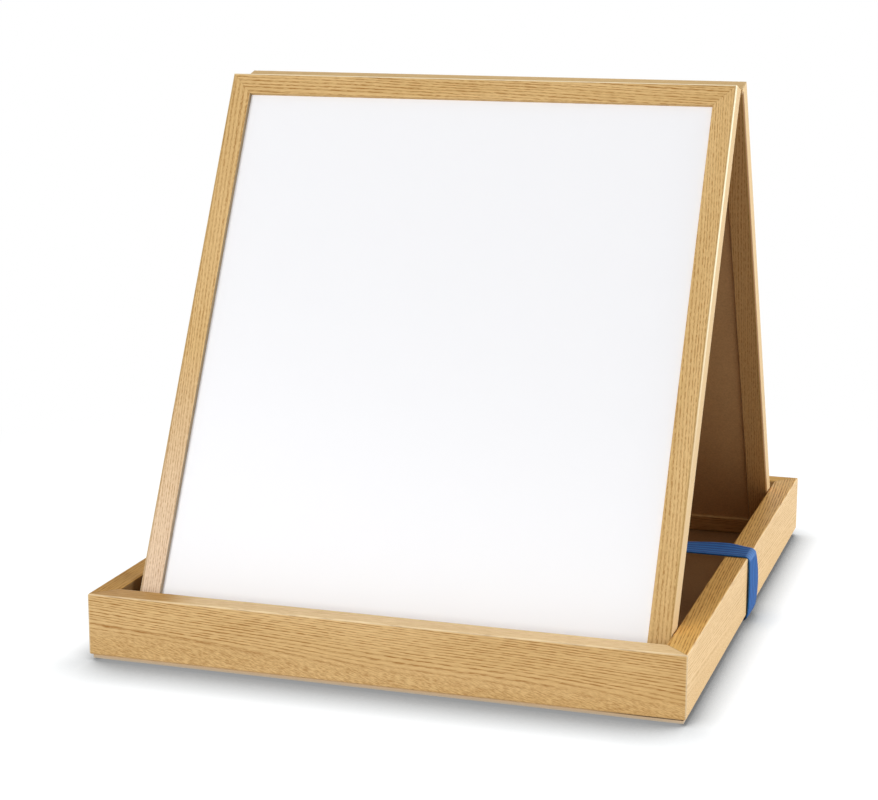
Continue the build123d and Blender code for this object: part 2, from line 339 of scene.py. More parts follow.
@dataclass(frozen=True)
class OakFoil:
    """Printed oak foil wrapped round fibreboard: satin, warm tan, with fine dark pores in lines.

    The print gives the eye long close rings with short brown dashes, and the wrap gives soft arrises.
    """

    light: str = "#E6C38A"
    middle: str = "#D6B175"
    ink: str = "#BBA07B"
    seam: str = "#6E4E2A"
    # painted highlight along the outer arris
    worn: str = "#FFF3D2"
    # painted light on the outer sides
    side: str = "#FBE3BA"
    # painted shade where the print turns over the outer arris
    turn: str = "#A4824A"
    # dark tone of a strip of the back board's outer sides
    core: str = "#8E683F"
    cloud_rate: tuple[float, float, float] = (6, 60, 60)  # per metre: 170 mm long and 17 mm wide
    stray_rate: tuple[float, float, float] = (4, 22, 22)  # the grain strays over 250 mm of its length
    stray: float = 5 * MM
    tremble_rate: tuple[float, float, float] = (50, 240, 240)  # and trembles every 20 mm
    tremble: float = 0.22 * MM
    strength_rate: tuple[float, float, float] = (11, 120, 120)  # rings are strong for 90 mm or so
    pore_width: float = 0.55 * MM  # real pores are 0.2 mm, too fine to show, so they are wider
    fleck_length: float = 4.4 * MM
    fleck_width: float = 0.7 * MM  # real flecks are 0.3 mm, too fine to show, so they are wider
    fleck_slant: float = radians(15)
    flat_within: float = 5 * MM  # of the heart's level, where the rings lie flat in the face
    upright_beyond: float = 19 * MM
    tone_change: float = 35 * MM  # length over which a wash changes its tone
    skin: float = 0.35 * MM  # depth that counts as a side of the member
    edge_shade_start: float = 0.9 * MM
    edge_shade_end: float = 2.2 * MM
    arris: float = 0.9 * MM
    highlight_growth: float = 200 * MM  # length over which the painted highlight of an arris grows
    seam_width: float = 0.35 * MM
    end_grain: float = 0.8  # strength of the grain at the far end of a member
    roughness: float = 0.45
    grain_roughness: float = 0.66  # in the dark grain

    def material(self, name: str, member: Member) -> bpy.types.Material:
        """Make the foil for one member.

        Args:
            name: The material's name.
            member: The member that it wraps.

        Returns:
            The material.
        """
        material, tree = new_material(name)
        canvas = self.canvas(tree, member.axes)
        grain = self.grain(canvas, member)
        roughness = add_node(
            tree,
            "ShaderNodeMapRange",
            {"Value": grain, "To Min": self.roughness, "To Max": self.grain_roughness},
        )
        bump = add_node(
            tree, "ShaderNodeBump", {"Height": grain, "Strength": 0.2, "Distance": 0.1 * MM}, invert=True
        )
        shader = add_node(
            tree,
            "ShaderNodeBsdfPrincipled",
            {
                "Base Color": self.colour(canvas, grain, member),
                "Roughness": roughness.outputs["Result"],
                "Normal": bump.outputs["Normal"],
                "Specular IOR Level": member.gloss,
            },
        )
        add_node(tree, "ShaderNodeOutputMaterial", {"Surface": shader.outputs["BSDF"]})
        return material

    def canvas(self, tree: Tree, axes: GrainAxes) -> Canvas:
        """Turn the object's coordinates into places on the member.

        Args:
            tree: The material's node tree.
            axes: The member's axes.

        Returns:
            The canvas that the foil is drawn on.
        """
        coords = add_node(tree, "ShaderNodeTexCoord")
        place = add_node(
            tree,
            "ShaderNodeMapping",
            {"Vector": coords.outputs["Object"], "Location": axes.origin, "Rotation": axes.rotation()},
            vector_type="TEXTURE",
        ).outputs["Vector"]
        parts = add_node(tree, "ShaderNodeSeparateXYZ", {0: place}).outputs
        return Canvas(tree, place, parts["X"], parts["Y"], parts["Z"])

    def grain(self, canvas: Canvas, member: Member) -> Socket:
        """Draw the growth rings and pores, and flecks where the rings lie flat in the face.

        Args:
            canvas: The canvas.
            member: The member.

        Returns:
            How dark the grain is, from 0 to 1.
        """
        tree = canvas.tree
        shift = (member.seed, member.seed * 0.31, member.seed * 0.17)
        shifted = add_node(tree, "ShaderNodeVectorMath", {0: canvas.place, 1: shift}, operation="ADD")
        print_place = shifted.outputs["Vector"]
        round_heart = self.round_heart(canvas, print_place, member.figure.value)
        upright = self.upright(canvas, round_heart)
        rings = self.rings(canvas, round_heart, member.figure.value)
        strength = self.ring_strength(canvas, print_place, upright, member.figure.value)
        pores = self.pores(canvas, round_heart, member)
        flecks = self.flecks(canvas, print_place)

        # The pores break the rings into dashes, and a few lie between them.
        clear_rings = add_node(tree, "ShaderNodeMath", {0: rings, 1: strength}, operation="MULTIPLY")
        broken = add_node(tree, "ShaderNodeMapRange", {"Value": pores, "To Min": 0.35, "To Max": 1.15})
        dashes = add_node(
            tree,
            "ShaderNodeMath",
            {0: clear_rings.outputs["Value"], 1: broken.outputs["Result"]},
            operation="MULTIPLY",
        )
        lone_pores = add_node(tree, "ShaderNodeMath", {0: pores, 1: 0.22}, operation="MULTIPLY")
        between_rings = add_node(
            tree, "ShaderNodeMix", {0: upright, 2: flecks, 3: lone_pores.outputs["Value"]}
        )
        return add_node(
            tree,
            "ShaderNodeMath",
            {0: dashes.outputs["Value"], 1: between_rings.outputs[0]},
            operation="ADD",
            use_clamp=True,
        ).outputs["Value"]

    def round_heart(self, canvas: Canvas, print_place: Socket, sawing: Sawing) -> Socket:
        """Place the member round the heart of its tree, with grain that strays and trembles.

        Args:
            canvas: The canvas.
            print_place: The place in the print.
            sawing: How the member was sawn.

        Returns:
            The place in the tree, with X up the heart.
        """
        tree = canvas.tree
        bent = canvas.place
        for rate, reach in ((self.stray_rate, self.stray), (self.tremble_rate, self.tremble)):
            stretched = add_node(
                tree, "ShaderNodeMapping", {"Vector": print_place, "Scale": rate}, vector_type="POINT"
            )
            noise = add_node(
                tree,
                "ShaderNodeTexNoise",
                {"Vector": stretched.outputs["Vector"], "Scale": 1.0, "Detail": 1.0},
            )
            centred = add_node(
                tree,
                "ShaderNodeVectorMath",
                {0: noise.outputs["Color"], 1: (0.5, 0.5, 0.5)},
                operation="SUBTRACT",
            )
            bent = add_node(
                tree,
                "ShaderNodeVectorMath",
                {0: centred.outputs["Vector"], 1: (0.0, reach, reach), 2: bent},
                operation="MULTIPLY_ADD",
            ).outputs["Vector"]
        return add_node(
            tree,
            "ShaderNodeMapping",
            {
                "Vector": bent,
                "Location": sawing.heart,
                "Rotation": (0.0, sawing.tilt_through, sawing.tilt_in),
            },
            vector_type="TEXTURE",
        ).outputs["Vector"]

    def upright(self, canvas: Canvas, round_heart: Socket) -> Socket:
        """Tell where the rings cross the face, which they don't do level with the heart.

        Args:
            canvas: The canvas.
            round_heart: The place in the tree.

        Returns:
            How steeply the rings cross the face, up to 1.
        """
        tree = canvas.tree
        from_heart = add_node(tree, "ShaderNodeSeparateXYZ", {0: round_heart})
        beside_heart = add_node(tree, "ShaderNodeMath", {0: from_heart.outputs["Z"]}, operation="ABSOLUTE")
        return add_node(
            tree,
            "ShaderNodeMapRange",
            {
                "Value": beside_heart.outputs["Value"],
                "From Min": self.flat_within,
                "From Max": self.upright_beyond,
                "To Min": 0.1,
                "To Max": 1.0,
            },
            interpolation_type="SMOOTHSTEP",
        ).outputs["Result"]

    def rings(self, canvas: Canvas, round_heart: Socket, sawing: Sawing) -> Socket:
        """Draw the growth rings, some years wider than others.

        Args:
            canvas: The canvas.
            round_heart: The place in the tree.
            sawing: How the member was sawn.

        Returns:
            How far into a year's dark first wood the place is, from 0 to 1.
        """
        tree = canvas.tree
        crosswise = add_node(
            tree, "ShaderNodeVectorMath", {0: round_heart, 1: (0, 1, 1)}, operation="MULTIPLY"
        )
        radius = add_node(tree, "ShaderNodeVectorMath", {0: crosswise.outputs["Vector"]}, operation="LENGTH")
        years = add_node(
            tree, "ShaderNodeMath", {0: radius.outputs["Value"], 1: sawing.ring_width}, operation="DIVIDE"
        )
        growth = add_node(
            tree,
            "ShaderNodeTexNoise",
            {"W": years.outputs["Value"], "Scale": 0.45, "Detail": 1.0},
            noise_dimensions="1D",
        )
        uneven = add_node(
            tree,
            "ShaderNodeMath",
            {0: growth.outputs["Fac"], 1: 0.9, 2: years.outputs["Value"]},
            operation="MULTIPLY_ADD",
        )
        season = add_node(tree, "ShaderNodeMath", {0: uneven.outputs["Value"], 1: 0.5}, operation="PINGPONG")
        return add_node(
            tree,
            "ShaderNodeMapRange",
            {"Value": season.outputs["Value"], "From Min": 0.12, "From Max": 0.46},
            interpolation_type="SMOOTHSTEP",
        ).outputs["Result"]

    def ring_strength(
        self, canvas: Canvas, print_place: Socket, upright: Socket, sawing: Sawing
    ) -> Socket:
        """Vary the rings, which show strongly in some places and hardly in others.

        Args:
            canvas: The canvas.
            print_place: The place in the print.
            upright: How steeply the rings cross the face.
            sawing: How the member was sawn.

        Returns:
            How strongly the rings show.
        """
        tree = canvas.tree
        stretched = add_node(
            tree,
            "ShaderNodeMapping",
            {"Vector": print_place, "Scale": self.strength_rate},
            vector_type="POINT",
        )
        noise = add_node(
            tree, "ShaderNodeTexNoise", {"Vector": stretched.outputs["Vector"], "Scale": 1.0, "Detail": 2.0}
        )
        strength = add_node(
            tree,
            "ShaderNodeMapRange",
            {
                "Value": noise.outputs["Fac"],
                "From Min": 0.3,
                "From Max": 0.7,
                "To Min": 0.45 * sawing.contrast,
                "To Max": 0.75 * sawing.contrast,
            },
        )
        return add_node(
            tree, "ShaderNodeMath", {0: strength.outputs["Result"], 1: upright}, operation="MULTIPLY"
        ).outputs["Value"]

    def pores(self, canvas: Canvas, round_heart: Socket, member: Member) -> Socket:
        """Draw the pores, long tubes up the tree.

        Args:
            canvas: The canvas.
            round_heart: The place in the tree.
            member: The member.

        Returns:
            How far into a pore the place is, from 0 to 1.
        """
        tree = canvas.tree
        tubes = add_node(
            tree,
            "ShaderNodeMapping",
            {
                "Vector": round_heart,
                "Location": (member.seed * 31.0, member.seed * 17.0, member.seed * 7.0),
                "Scale": (1 / member.figure.value.pore_length, 1 / self.pore_width, 1 / self.pore_width),
            },
            vector_type="POINT",
        )
        noise = add_node(
            tree,
            "ShaderNodeTexNoise",
            {"Vector": tubes.outputs["Vector"], "Scale": 1.0, "Detail": 2.0, "Roughness": 0.6},
        )
        return add_node(
            tree,
            "ShaderNodeMapRange",
            {"Value": noise.outputs["Fac"], "From Min": 0.38, "From Max": 0.62},
            interpolation_type="SMOOTHSTEP",
        ).outputs["Result"]

    def flecks(self, canvas: Canvas, print_place: Socket) -> Socket:
        """Draw the soft slanting flecks of a face that lies along the rings.

        Args:
            canvas: The canvas.
            print_place: The place in the print.

        Returns:
            How dark the flecks are.
        """
        tree = canvas.tree
        slanted = add_node(
            tree,
            "ShaderNodeMapping",
            {
                "Vector": print_place,
                "Rotation": (0.0, self.fleck_slant, 0.0),
                "Scale": (self.fleck_length, self.fleck_width, self.fleck_width),
            },
            vector_type="TEXTURE",
        )
        noise = add_node(
            tree,
            "ShaderNodeTexNoise",
            {"Vector": slanted.outputs["Vector"], "Scale": 1.0, "Detail": 2.0, "Roughness": 0.6},
        )
        return add_node(
            tree,
            "ShaderNodeMapRange",
            {"Value": noise.outputs["Fac"], "From Min": 0.4, "From Max": 0.62, "To Max": 0.68},
        ).outputs["Result"]

    def colour(self, canvas: Canvas, grain: Socket, member: Member) -> Socket:
        """Colour the foil: the wood, the grain over it, its sides, and its seams and arrises.

        Args:
            canvas: The canvas.
            grain: How dark the grain is.
            member: The member.

        Returns:
            The colour.
        """
        outer_side = add_node(
            canvas.tree, "ShaderNodeMath", {0: canvas.inward, 1: self.skin}, operation="LESS_THAN"
        ).outputs["Value"]
        near_end = add_node(
            canvas.tree,
            "ShaderNodeMapRange",
            {
                "Value": canvas.along,
                "From Min": 0.0,
                "From Max": member.axes.half_length,
                "To Max": member.fade.share,
            },
        ).outputs["Result"]
        washed = self.washed_faces(canvas, member.wash)
        wood = self.wood(canvas, near_end, member)
        wood = self.washed_wood(canvas, wood, washed, member.wash)
        strengths = (
            (outer_side, member.outer.grain),
            (washed, member.wash.grain),
            (near_end, self.end_grain),
        )
        wood = self.inked_wood(canvas, wood, grain, strengths)
        wood = self.lit_and_shaded_wood(canvas, wood, outer_side, member)
        wood = self.seamed_wood(canvas, wood, member)
        return self.highlighted_wood(canvas, wood, member)

    def washed_faces(self, canvas: Canvas, wash: Wash) -> Socket:
        """Find the faces that a wash covers.

        Args:
            canvas: The canvas.
            wash: The wash.

        Returns:
            1 on those faces, and otherwise 0.
        """
        tree = canvas.tree
        above = add_node(tree, "ShaderNodeMath", {0: canvas.through, 1: wash.low}, operation="GREATER_THAN")
        below = add_node(tree, "ShaderNodeMath", {0: canvas.through, 1: wash.high}, operation="LESS_THAN")
        return add_node(
            tree,
            "ShaderNodeMath",
            {0: above.outputs["Value"], 1: below.outputs["Value"]},
            operation="MULTIPLY",
        ).outputs["Value"]

    def wood(self, canvas: Canvas, near_end: Socket, member: Member) -> Socket:
        """Colour the wood under the grain in soft clouds, and fade it towards its end.

        Args:
            canvas: The canvas.
            near_end: How far it has faded.
            member: The member.

        Returns:
            The colour.
        """
        tree = canvas.tree
        shift = (member.seed * 1.3, member.seed * 0.7, member.seed * 0.4)
        shifted = add_node(tree, "ShaderNodeVectorMath", {0: canvas.place, 1: shift}, operation="ADD")
        stretched = add_node(
            tree,
            "ShaderNodeMapping",
            {"Vector": shifted.outputs["Vector"], "Scale": self.cloud_rate},
            vector_type="POINT",
        )
        clouds = add_node(
            tree, "ShaderNodeTexNoise", {"Vector": stretched.outputs["Vector"], "Scale": 1.0, "Detail": 3.0}
        )
        share = add_node(
            tree, "ShaderNodeMapRange", {"Value": clouds.outputs["Fac"], "From Min": 0.2, "From Max": 0.8}
        )
        ground = add_node(
            tree,
            "ShaderNodeMix",
            {0: share.outputs["Result"], 6: linear(self.light), 7: linear(self.middle)},
            data_type="RGBA",
        )
        return add_node(
            tree,
            "ShaderNodeMix",
            {0: near_end, 6: ground.outputs[2], 7: linear(member.fade.tone)},
            data_type="RGBA",
        ).outputs[2]

    def washed_wood(self, canvas: Canvas, wood: Socket, washed: Socket, wash: Wash) -> Socket:
        """Lay the wash over the wood, in one tone or in two.

        Args:
            canvas: The canvas.
            wood: The colour of the wood.
            washed: 1 on the faces that the wash covers.
            wash: The wash.

        Returns:
            The colour.
        """
        tree = canvas.tree
        share = add_node(tree, "ShaderNodeMath", {0: washed, 1: wash.share}, operation="MULTIPLY")
        tone = linear(wash.tone)
        if wash.first_tone is not None:
            past = add_node(
                tree,
                "ShaderNodeMapRange",
                {"Value": canvas.along, "From Min": wash.change, "From Max": wash.change + self.tone_change},
                interpolation_type="SMOOTHSTEP",
            )
            tone = add_node(
                tree,
                "ShaderNodeMix",
                {0: past.outputs["Result"], 6: linear(wash.first_tone), 7: linear(wash.tone)},
                data_type="RGBA",
            ).outputs[2]
        return add_node(
            tree, "ShaderNodeMix", {0: share.outputs["Value"], 6: wood, 7: tone}, data_type="RGBA"
        ).outputs[2]

    def inked_wood(
        self, canvas: Canvas, wood: Socket, grain: Socket, strengths: tuple[tuple[Socket, float], ...]
    ) -> Socket:
        """Print the grain over the wood.

        Args:
            canvas: The canvas.
            wood: The colour of the wood.
            grain: How dark the grain is.
            strengths: Places from 0 to 1, each with the strength of the grain where it is 1.

        Returns:
            The colour.
        """
        tree = canvas.tree
        for place, strength in strengths:
            share = add_node(tree, "ShaderNodeMapRange", {"Value": place, "To Min": 1.0, "To Max": strength})
            grain = add_node(
                tree, "ShaderNodeMath", {0: grain, 1: share.outputs["Result"]}, operation="MULTIPLY"
            ).outputs["Value"]
        return add_node(
            tree,
            "ShaderNodeMix",
            {0: grain, 6: wood, 7: linear(self.ink)},
            data_type="RGBA",
            blend_type="MULTIPLY",
        ).outputs[2]

    def lit_and_shaded_wood(self, canvas: Canvas, wood: Socket, outer_side: Socket, member: Member) -> Socket:
        """Paint shade where the print turns, paint light on the outer side, darken a strip of it, and paint shade
        on the inner side.

        Args:
            canvas: The canvas.
            wood: The colour of the printed wood.
            outer_side: 1 on the outer side.
            member: The member.

        Returns:
            The colour.
        """
        tree = canvas.tree
        # painted shade where the print turns over the outer arris
        turn = add_node(
            tree,
            "ShaderNodeMapRange",
            {
                "Value": canvas.inward,
                "From Min": self.edge_shade_start,
                "From Max": self.edge_shade_end,
                "To Min": member.outer.turn,
                "To Max": 0.0,
            },
            interpolation_type="SMOOTHSTEP",
        )
        # painted light on the outer side
        side = add_node(tree, "ShaderNodeMath", {0: outer_side, 1: member.outer.fade}, operation="MULTIPLY")
        inner_side = add_node(
            tree, "ShaderNodeMath", {0: canvas.inward, 1: member.depth - self.skin}, operation="GREATER_THAN"
        )
        # painted shade on the inner side
        lip = add_node(
            tree,
            "ShaderNodeMath",
            {0: inner_side.outputs["Value"], 1: member.lip.share},
            operation="MULTIPLY",
        )
        # a darker strip of the outer side, next to the inner face
        within_strip = add_node(
            tree, "ShaderNodeMath", {0: canvas.through, 1: member.outer.dark_strip}, operation="LESS_THAN"
        )
        dark_strip = add_node(
            tree, "ShaderNodeMath", {0: within_strip.outputs["Value"], 1: outer_side}, operation="MULTIPLY"
        )
        for share, tone in (
            (turn.outputs["Result"], self.turn),
            (side.outputs["Value"], self.side),
            (lip.outputs["Value"], member.lip.tone),
            (dark_strip.outputs["Value"], self.core),
        ):
            wood = add_node(
                tree, "ShaderNodeMix", {0: share, 6: wood, 7: linear(tone)}, data_type="RGBA"
            ).outputs[2]
        return wood

    def seamed_wood(self, canvas: Canvas, wood: Socket, member: Member) -> Socket:
        """Draw the seams at the mitres.

        Args:
            canvas: The canvas.
            wood: The colour of the foil.
            member: The member.

        Returns:
            The colour.
        """
        tree = canvas.tree
        from_middle = add_node(tree, "ShaderNodeMath", {0: canvas.along}, operation="ABSOLUTE")
        reach = add_node(
            tree, "ShaderNodeMath", {0: from_middle.outputs["Value"], 1: canvas.inward}, operation="ADD"
        )
        seam = add_node(
            tree,
            "ShaderNodeMapRange",
            {
                "Value": reach.outputs["Value"],
                "From Min": member.axes.half_length - 2 * self.seam_width,
                "From Max": member.axes.half_length - 0.6 * self.seam_width,
                "To Max": member.seam,
            },
            interpolation_type="SMOOTHSTEP",
        )
        return add_node(
            tree,
            "ShaderNodeMix",
            {0: seam.outputs["Result"], 6: wood, 7: linear(self.seam)},
            data_type="RGBA",
        ).outputs[2]

    def highlighted_wood(self, canvas: Canvas, wood: Socket, member: Member) -> Socket:
        """Paint a highlight along the outer arris of the show face and at its two corners.

        Args:
            canvas: The canvas.
            wood: The colour of the foil.
            member: The member.

        Returns:
            The colour.
        """
        tree = canvas.tree
        for distance, strength in (
            (self.to_arris(canvas, member), self.highlight_along(canvas, member.wear)),
            (self.to_corner(canvas, member), member.wear.corners),
        ):
            highlight_share = add_node(
                tree,
                "ShaderNodeMapRange",
                {
                    "Value": distance,
                    "From Min": 0.6 * self.arris,
                    "From Max": 1.1 * self.arris,
                    "To Min": strength,
                    "To Max": 0.0,
                },
                interpolation_type="SMOOTHSTEP",
            )
            wood = add_node(
                tree,
                "ShaderNodeMix",
                {0: highlight_share.outputs["Result"], 6: wood, 7: linear(self.worn)},
                data_type="RGBA",
            ).outputs[2]
        return wood

    def to_arris(self, canvas: Canvas, member: Member) -> Socket:
        """Measure how far a place is from the outer arris of the show face.

        Args:
            canvas: The canvas.
            member: The member.

        Returns:
            The distance, shortened down the side to the reach of the painted highlight.
        """
        across = add_node(
            canvas.tree,
            "ShaderNodeVectorMath",
            {0: canvas.place, 1: (0, 0, member.face)},
            operation="SUBTRACT",
        )
        flat = add_node(
            canvas.tree,
            "ShaderNodeVectorMath",
            {0: across.outputs["Vector"], 1: (0, 1, self.arris / member.wear.reach)},
            operation="MULTIPLY",
        )
        return add_node(
            canvas.tree, "ShaderNodeVectorMath", {0: flat.outputs["Vector"]}, operation="LENGTH"
        ).outputs["Value"]

    def to_corner(self, canvas: Canvas, member: Member) -> Socket:
        """Measure how far a place is from the arris at the nearer outer corner.

        Args:
            canvas: The canvas.
            member: The member.

        Returns:
            The distance.
        """
        from_middle = add_node(canvas.tree, "ShaderNodeMath", {0: canvas.along}, operation="ABSOLUTE")
        to_end = add_node(
            canvas.tree,
            "ShaderNodeMath",
            {0: member.axes.half_length, 1: from_middle.outputs["Value"]},
            operation="SUBTRACT",
        )
        return add_node(
            canvas.tree, "ShaderNodeMath", {0: to_end.outputs["Value"], 1: canvas.inward}, operation="MAXIMUM"
        ).outputs["Value"]

    def highlight_along(self, canvas: Canvas, wear: ArrisHighlight) -> Socket | float:
        """Work out how strong the painted highlight of the arris is along the member.

        Args:
            canvas: The canvas.
            wear: The painted highlight.

        Returns:
            The strength of the painted highlight, which is a plain number where it is even.
        """
        if wear.start is None:
            return wear.share
        return add_node(
            canvas.tree,
            "ShaderNodeMapRange",
            {
                "Value": canvas.along,
                "From Min": wear.start,
                "From Max": wear.start + self.highlight_growth,
                "To Max": wear.share,
            },
        ).outputs["Result"]


@dataclass(frozen=True)
class WhiteEnamel:
    """Vitreous enamel fired on thin steel: bright neutral white, glossy, with a faint orange peel."""

    colour: str = "#F5F5F7"
    roughness: float = 0.2
    smeared_roughness: float = 0.26  # where the last wipe has left a faint haze
    smear: float = 25 * MM
    gloss: float = 0.3
    ripple: float = 5 * MM  # from crest to crest

    def material(self, name: str) -> bpy.types.Material:
        """Make the enamel.

        Args:
            name: The material's name.

        Returns:
            The material.
        """
        material, tree = new_material(name)
        coords = add_node(tree, "ShaderNodeTexCoord")
        ripples = add_node(
            tree,
            "ShaderNodeTexNoise",
            {"Vector": coords.outputs["Object"], "Scale": 1 / self.ripple, "Detail": 1.0},
        )
        haze = add_node(
            tree,
            "ShaderNodeTexNoise",
            {"Vector": coords.outputs["Object"], "Scale": 1 / self.smear, "Detail": 2.0},
        )
        roughness = add_node(
            tree,
            "ShaderNodeMapRange",
            {
                "Value": haze.outputs["Fac"],
                "To Min": self.roughness,
                "To Max": self.smeared_roughness,
            },
        )
        bump = add_node(
            tree,
            "ShaderNodeBump",
            {"Height": ripples.outputs["Fac"], "Strength": 0.05, "Distance": 0.05 * MM},
        )
        shader = add_node(
            tree,
            "ShaderNodeBsdfPrincipled",
            {
                "Base Color": linear(self.colour),
                "Roughness": roughness.outputs["Result"],
                "Specular IOR Level": self.gloss,
                "Normal": bump.outputs["Normal"],
            },
        )
        add_node(tree, "ShaderNodeOutputMaterial", {"Surface": shader.outputs["BSDF"]})
        return material


@dataclass(frozen=True)
class Hardboard:
    """Pressed wood fibre: brown and matt, with a felt of short fibres and a pale sawn edge."""

    face: str = "#7A5738"
    fleck: str = "#54381F"
    edge: str = "#D2B083"
    low_edge: str = "#B8AA95"  # greyer tan towards the bottom of the sawn edge, near the desk
    gap: str = "#3E2812"
    edge_low: float = 2.0 * MM
    edge_high: float = 5.2 * MM
    gap_start: float = 1.0  # a shadow line under the rail, from this far to the right
    gap_growth: float = 40 * MM  # length over which it deepens
    face_normal: Vector = Vector((0, 0, 1))
    roughness: float = 0.62
    fibre: float = 1.6 * MM  # real fibres are 0.3 mm, too fine to show, so they are coarser
    cloud: float = 45 * MM  # size of the darker patches

    def material(self, name: str) -> bpy.types.Material:
        """Make the hardboard.

        Args:
            name: The material's name.

        Returns:
            The material.
        """
        material, tree = new_material(name)
        coords = add_node(tree, "ShaderNodeTexCoord")
        fibres = add_node(
            tree,
            "ShaderNodeTexNoise",
            {"Vector": coords.outputs["Object"], "Scale": 1 / self.fibre, "Detail": 3.0, "Roughness": 0.65},
        ).outputs["Fac"]
        colour = add_node(
            tree,
            "ShaderNodeMix",
            {
                0: self.sawn(tree, coords.outputs["Normal"]),
                6: self.felt(tree, coords.outputs["Object"], fibres),
                7: self.sawn_edge(tree, coords.outputs["Object"]),
            },
            data_type="RGBA",
        )
        bump = add_node(
            tree, "ShaderNodeBump", {"Height": fibres, "Strength": 0.25, "Distance": 0.15 * MM}
        )
        shader = add_node(
            tree,
            "ShaderNodeBsdfPrincipled",
            {
                "Base Color": colour.outputs[2],
                "Roughness": self.roughness,
                "Specular IOR Level": 0.3,
                "Normal": bump.outputs["Normal"],
            },
        )
        add_node(tree, "ShaderNodeOutputMaterial", {"Surface": shader.outputs["BSDF"]})
        return material

    def felt(self, tree: Tree, place: Socket, fibres: Socket) -> Socket:
        """Colour the pressed face, whose fibres lie in darker and paler patches.

        Args:
            tree: The material's node tree.
            place: The place on the object.
            fibres: The noise of the fibres.

        Returns:
            The colour.
        """
        clouds = add_node(
            tree, "ShaderNodeTexNoise", {"Vector": place, "Scale": 1 / self.cloud, "Detail": 3.0}
        )
        mixed = add_node(
            tree, "ShaderNodeMath", {0: fibres, 1: 2.2, 2: clouds.outputs["Fac"]}, operation="MULTIPLY_ADD"
        )
        share = add_node(
            tree,
            "ShaderNodeMapRange",
            {"Value": mixed.outputs["Value"], "From Min": 1.15, "From Max": 2.15, "To Max": 0.7},
        )
        return add_node(
            tree,
            "ShaderNodeMix",
            {0: share.outputs["Result"], 6: linear(self.face), 7: linear(self.fleck)},
            data_type="RGBA",
        ).outputs[2]

    def sawn(self, tree: Tree, normal: Socket) -> Socket:
        """Find the sawn edges, which don't face the way that the pressed faces do.

        Args:
            tree: The material's node tree.
            normal: The way that the surface faces.

        Returns:
            1 on the sawn edges, and 0 on the faces.
        """
        facing = add_node(
            tree, "ShaderNodeVectorMath", {0: normal, 1: self.face_normal}, operation="DOT_PRODUCT"
        )
        square_on = add_node(tree, "ShaderNodeMath", {0: facing.outputs["Value"]}, operation="ABSOLUTE")
        return add_node(
            tree,
            "ShaderNodeMapRange",
            {
                "Value": square_on.outputs["Value"],
                "From Min": 0.3,
                "From Max": 0.6,
                "To Min": 1.0,
                "To Max": 0.0,
            },
        ).outputs["Result"]

    def sawn_edge(self, tree: Tree, place: Socket) -> Socket:
        """Colour the sawn edge, greyer below, with a painted shadow of a gap along its top.

        Args:
            tree: The material's node tree.
            place: The place on the object.

        Returns:
            The colour.
        """
        parts = add_node(tree, "ShaderNodeSeparateXYZ", {0: place})
        height = add_node(
            tree,
            "ShaderNodeMapRange",
            {"Value": parts.outputs["Z"], "From Min": self.edge_low, "From Max": self.edge_high},
        ).outputs["Result"]
        edge = add_node(
            tree,
            "ShaderNodeMix",
            {0: height, 6: linear(self.low_edge), 7: linear(self.edge)},
            data_type="RGBA",
        )
        gap_height = add_node(
            tree,
            "ShaderNodeMapRange",
            {"Value": height, "From Min": 0.6, "From Max": 0.75},
            interpolation_type="SMOOTHSTEP",
        )
        gap_depth = add_node(
            tree,
            "ShaderNodeMapRange",
            {
                "Value": parts.outputs["X"],
                "From Min": self.gap_start,
                "From Max": self.gap_start + self.gap_growth,
                "To Max": 0.9,
            },
        )
        gap = add_node(
            tree,
            "ShaderNodeMath",
            {0: gap_depth.outputs["Result"], 1: gap_height.outputs["Result"]},
            operation="MULTIPLY",
        )
        return add_node(
            tree,
            "ShaderNodeMix",
            {0: gap.outputs["Value"], 6: edge.outputs[2], 7: linear(self.gap)},
            data_type="RGBA",
        ).outputs[2]


@dataclass(frozen=True)
class PlainWood:
    """Bare light wood or fibreboard: matt and pale brown, with short soft fibres."""

    light: str
    dark: str
    fibre_length: float
    fibre_width: float
    roughness: float = 0.7

    def material(self, name: str) -> bpy.types.Material:
        """Make the bare wood.

        Args:
            name: The material's name.

        Returns:
            The material.
        """
        material, tree = new_material(name)
        coords = add_node(tree, "ShaderNodeTexCoord")
        stretched = add_node(
            tree,
            "ShaderNodeMapping",
            {
                "Vector": coords.outputs["Object"],
                "Scale": (1 / self.fibre_length, 1 / self.fibre_width, 1 / self.fibre_width),
            },
            vector_type="POINT",
        )
        fibres = add_node(
            tree, "ShaderNodeTexNoise", {"Vector": stretched.outputs["Vector"], "Scale": 1.0, "Detail": 4.0}
        )
        share = add_node(
            tree, "ShaderNodeMapRange", {"Value": fibres.outputs["Fac"], "From Min": 0.3, "From Max": 0.7}
        )
        colour = add_node(
            tree,
            "ShaderNodeMix",
            {0: share.outputs["Result"], 6: linear(self.light), 7: linear(self.dark)},
            data_type="RGBA",
        )
        bump = add_node(
            tree,
            "ShaderNodeBump",
            {"Height": fibres.outputs["Fac"], "Strength": 0.3, "Distance": 0.1 * MM},
        )
        shader = add_node(
            tree,
            "ShaderNodeBsdfPrincipled",
            {"Base Color": colour.outputs[2], "Roughness": self.roughness, "Normal": bump.outputs["Normal"]},
        )
        add_node(tree, "ShaderNodeOutputMaterial", {"Surface": shader.outputs["BSDF"]})
        return material


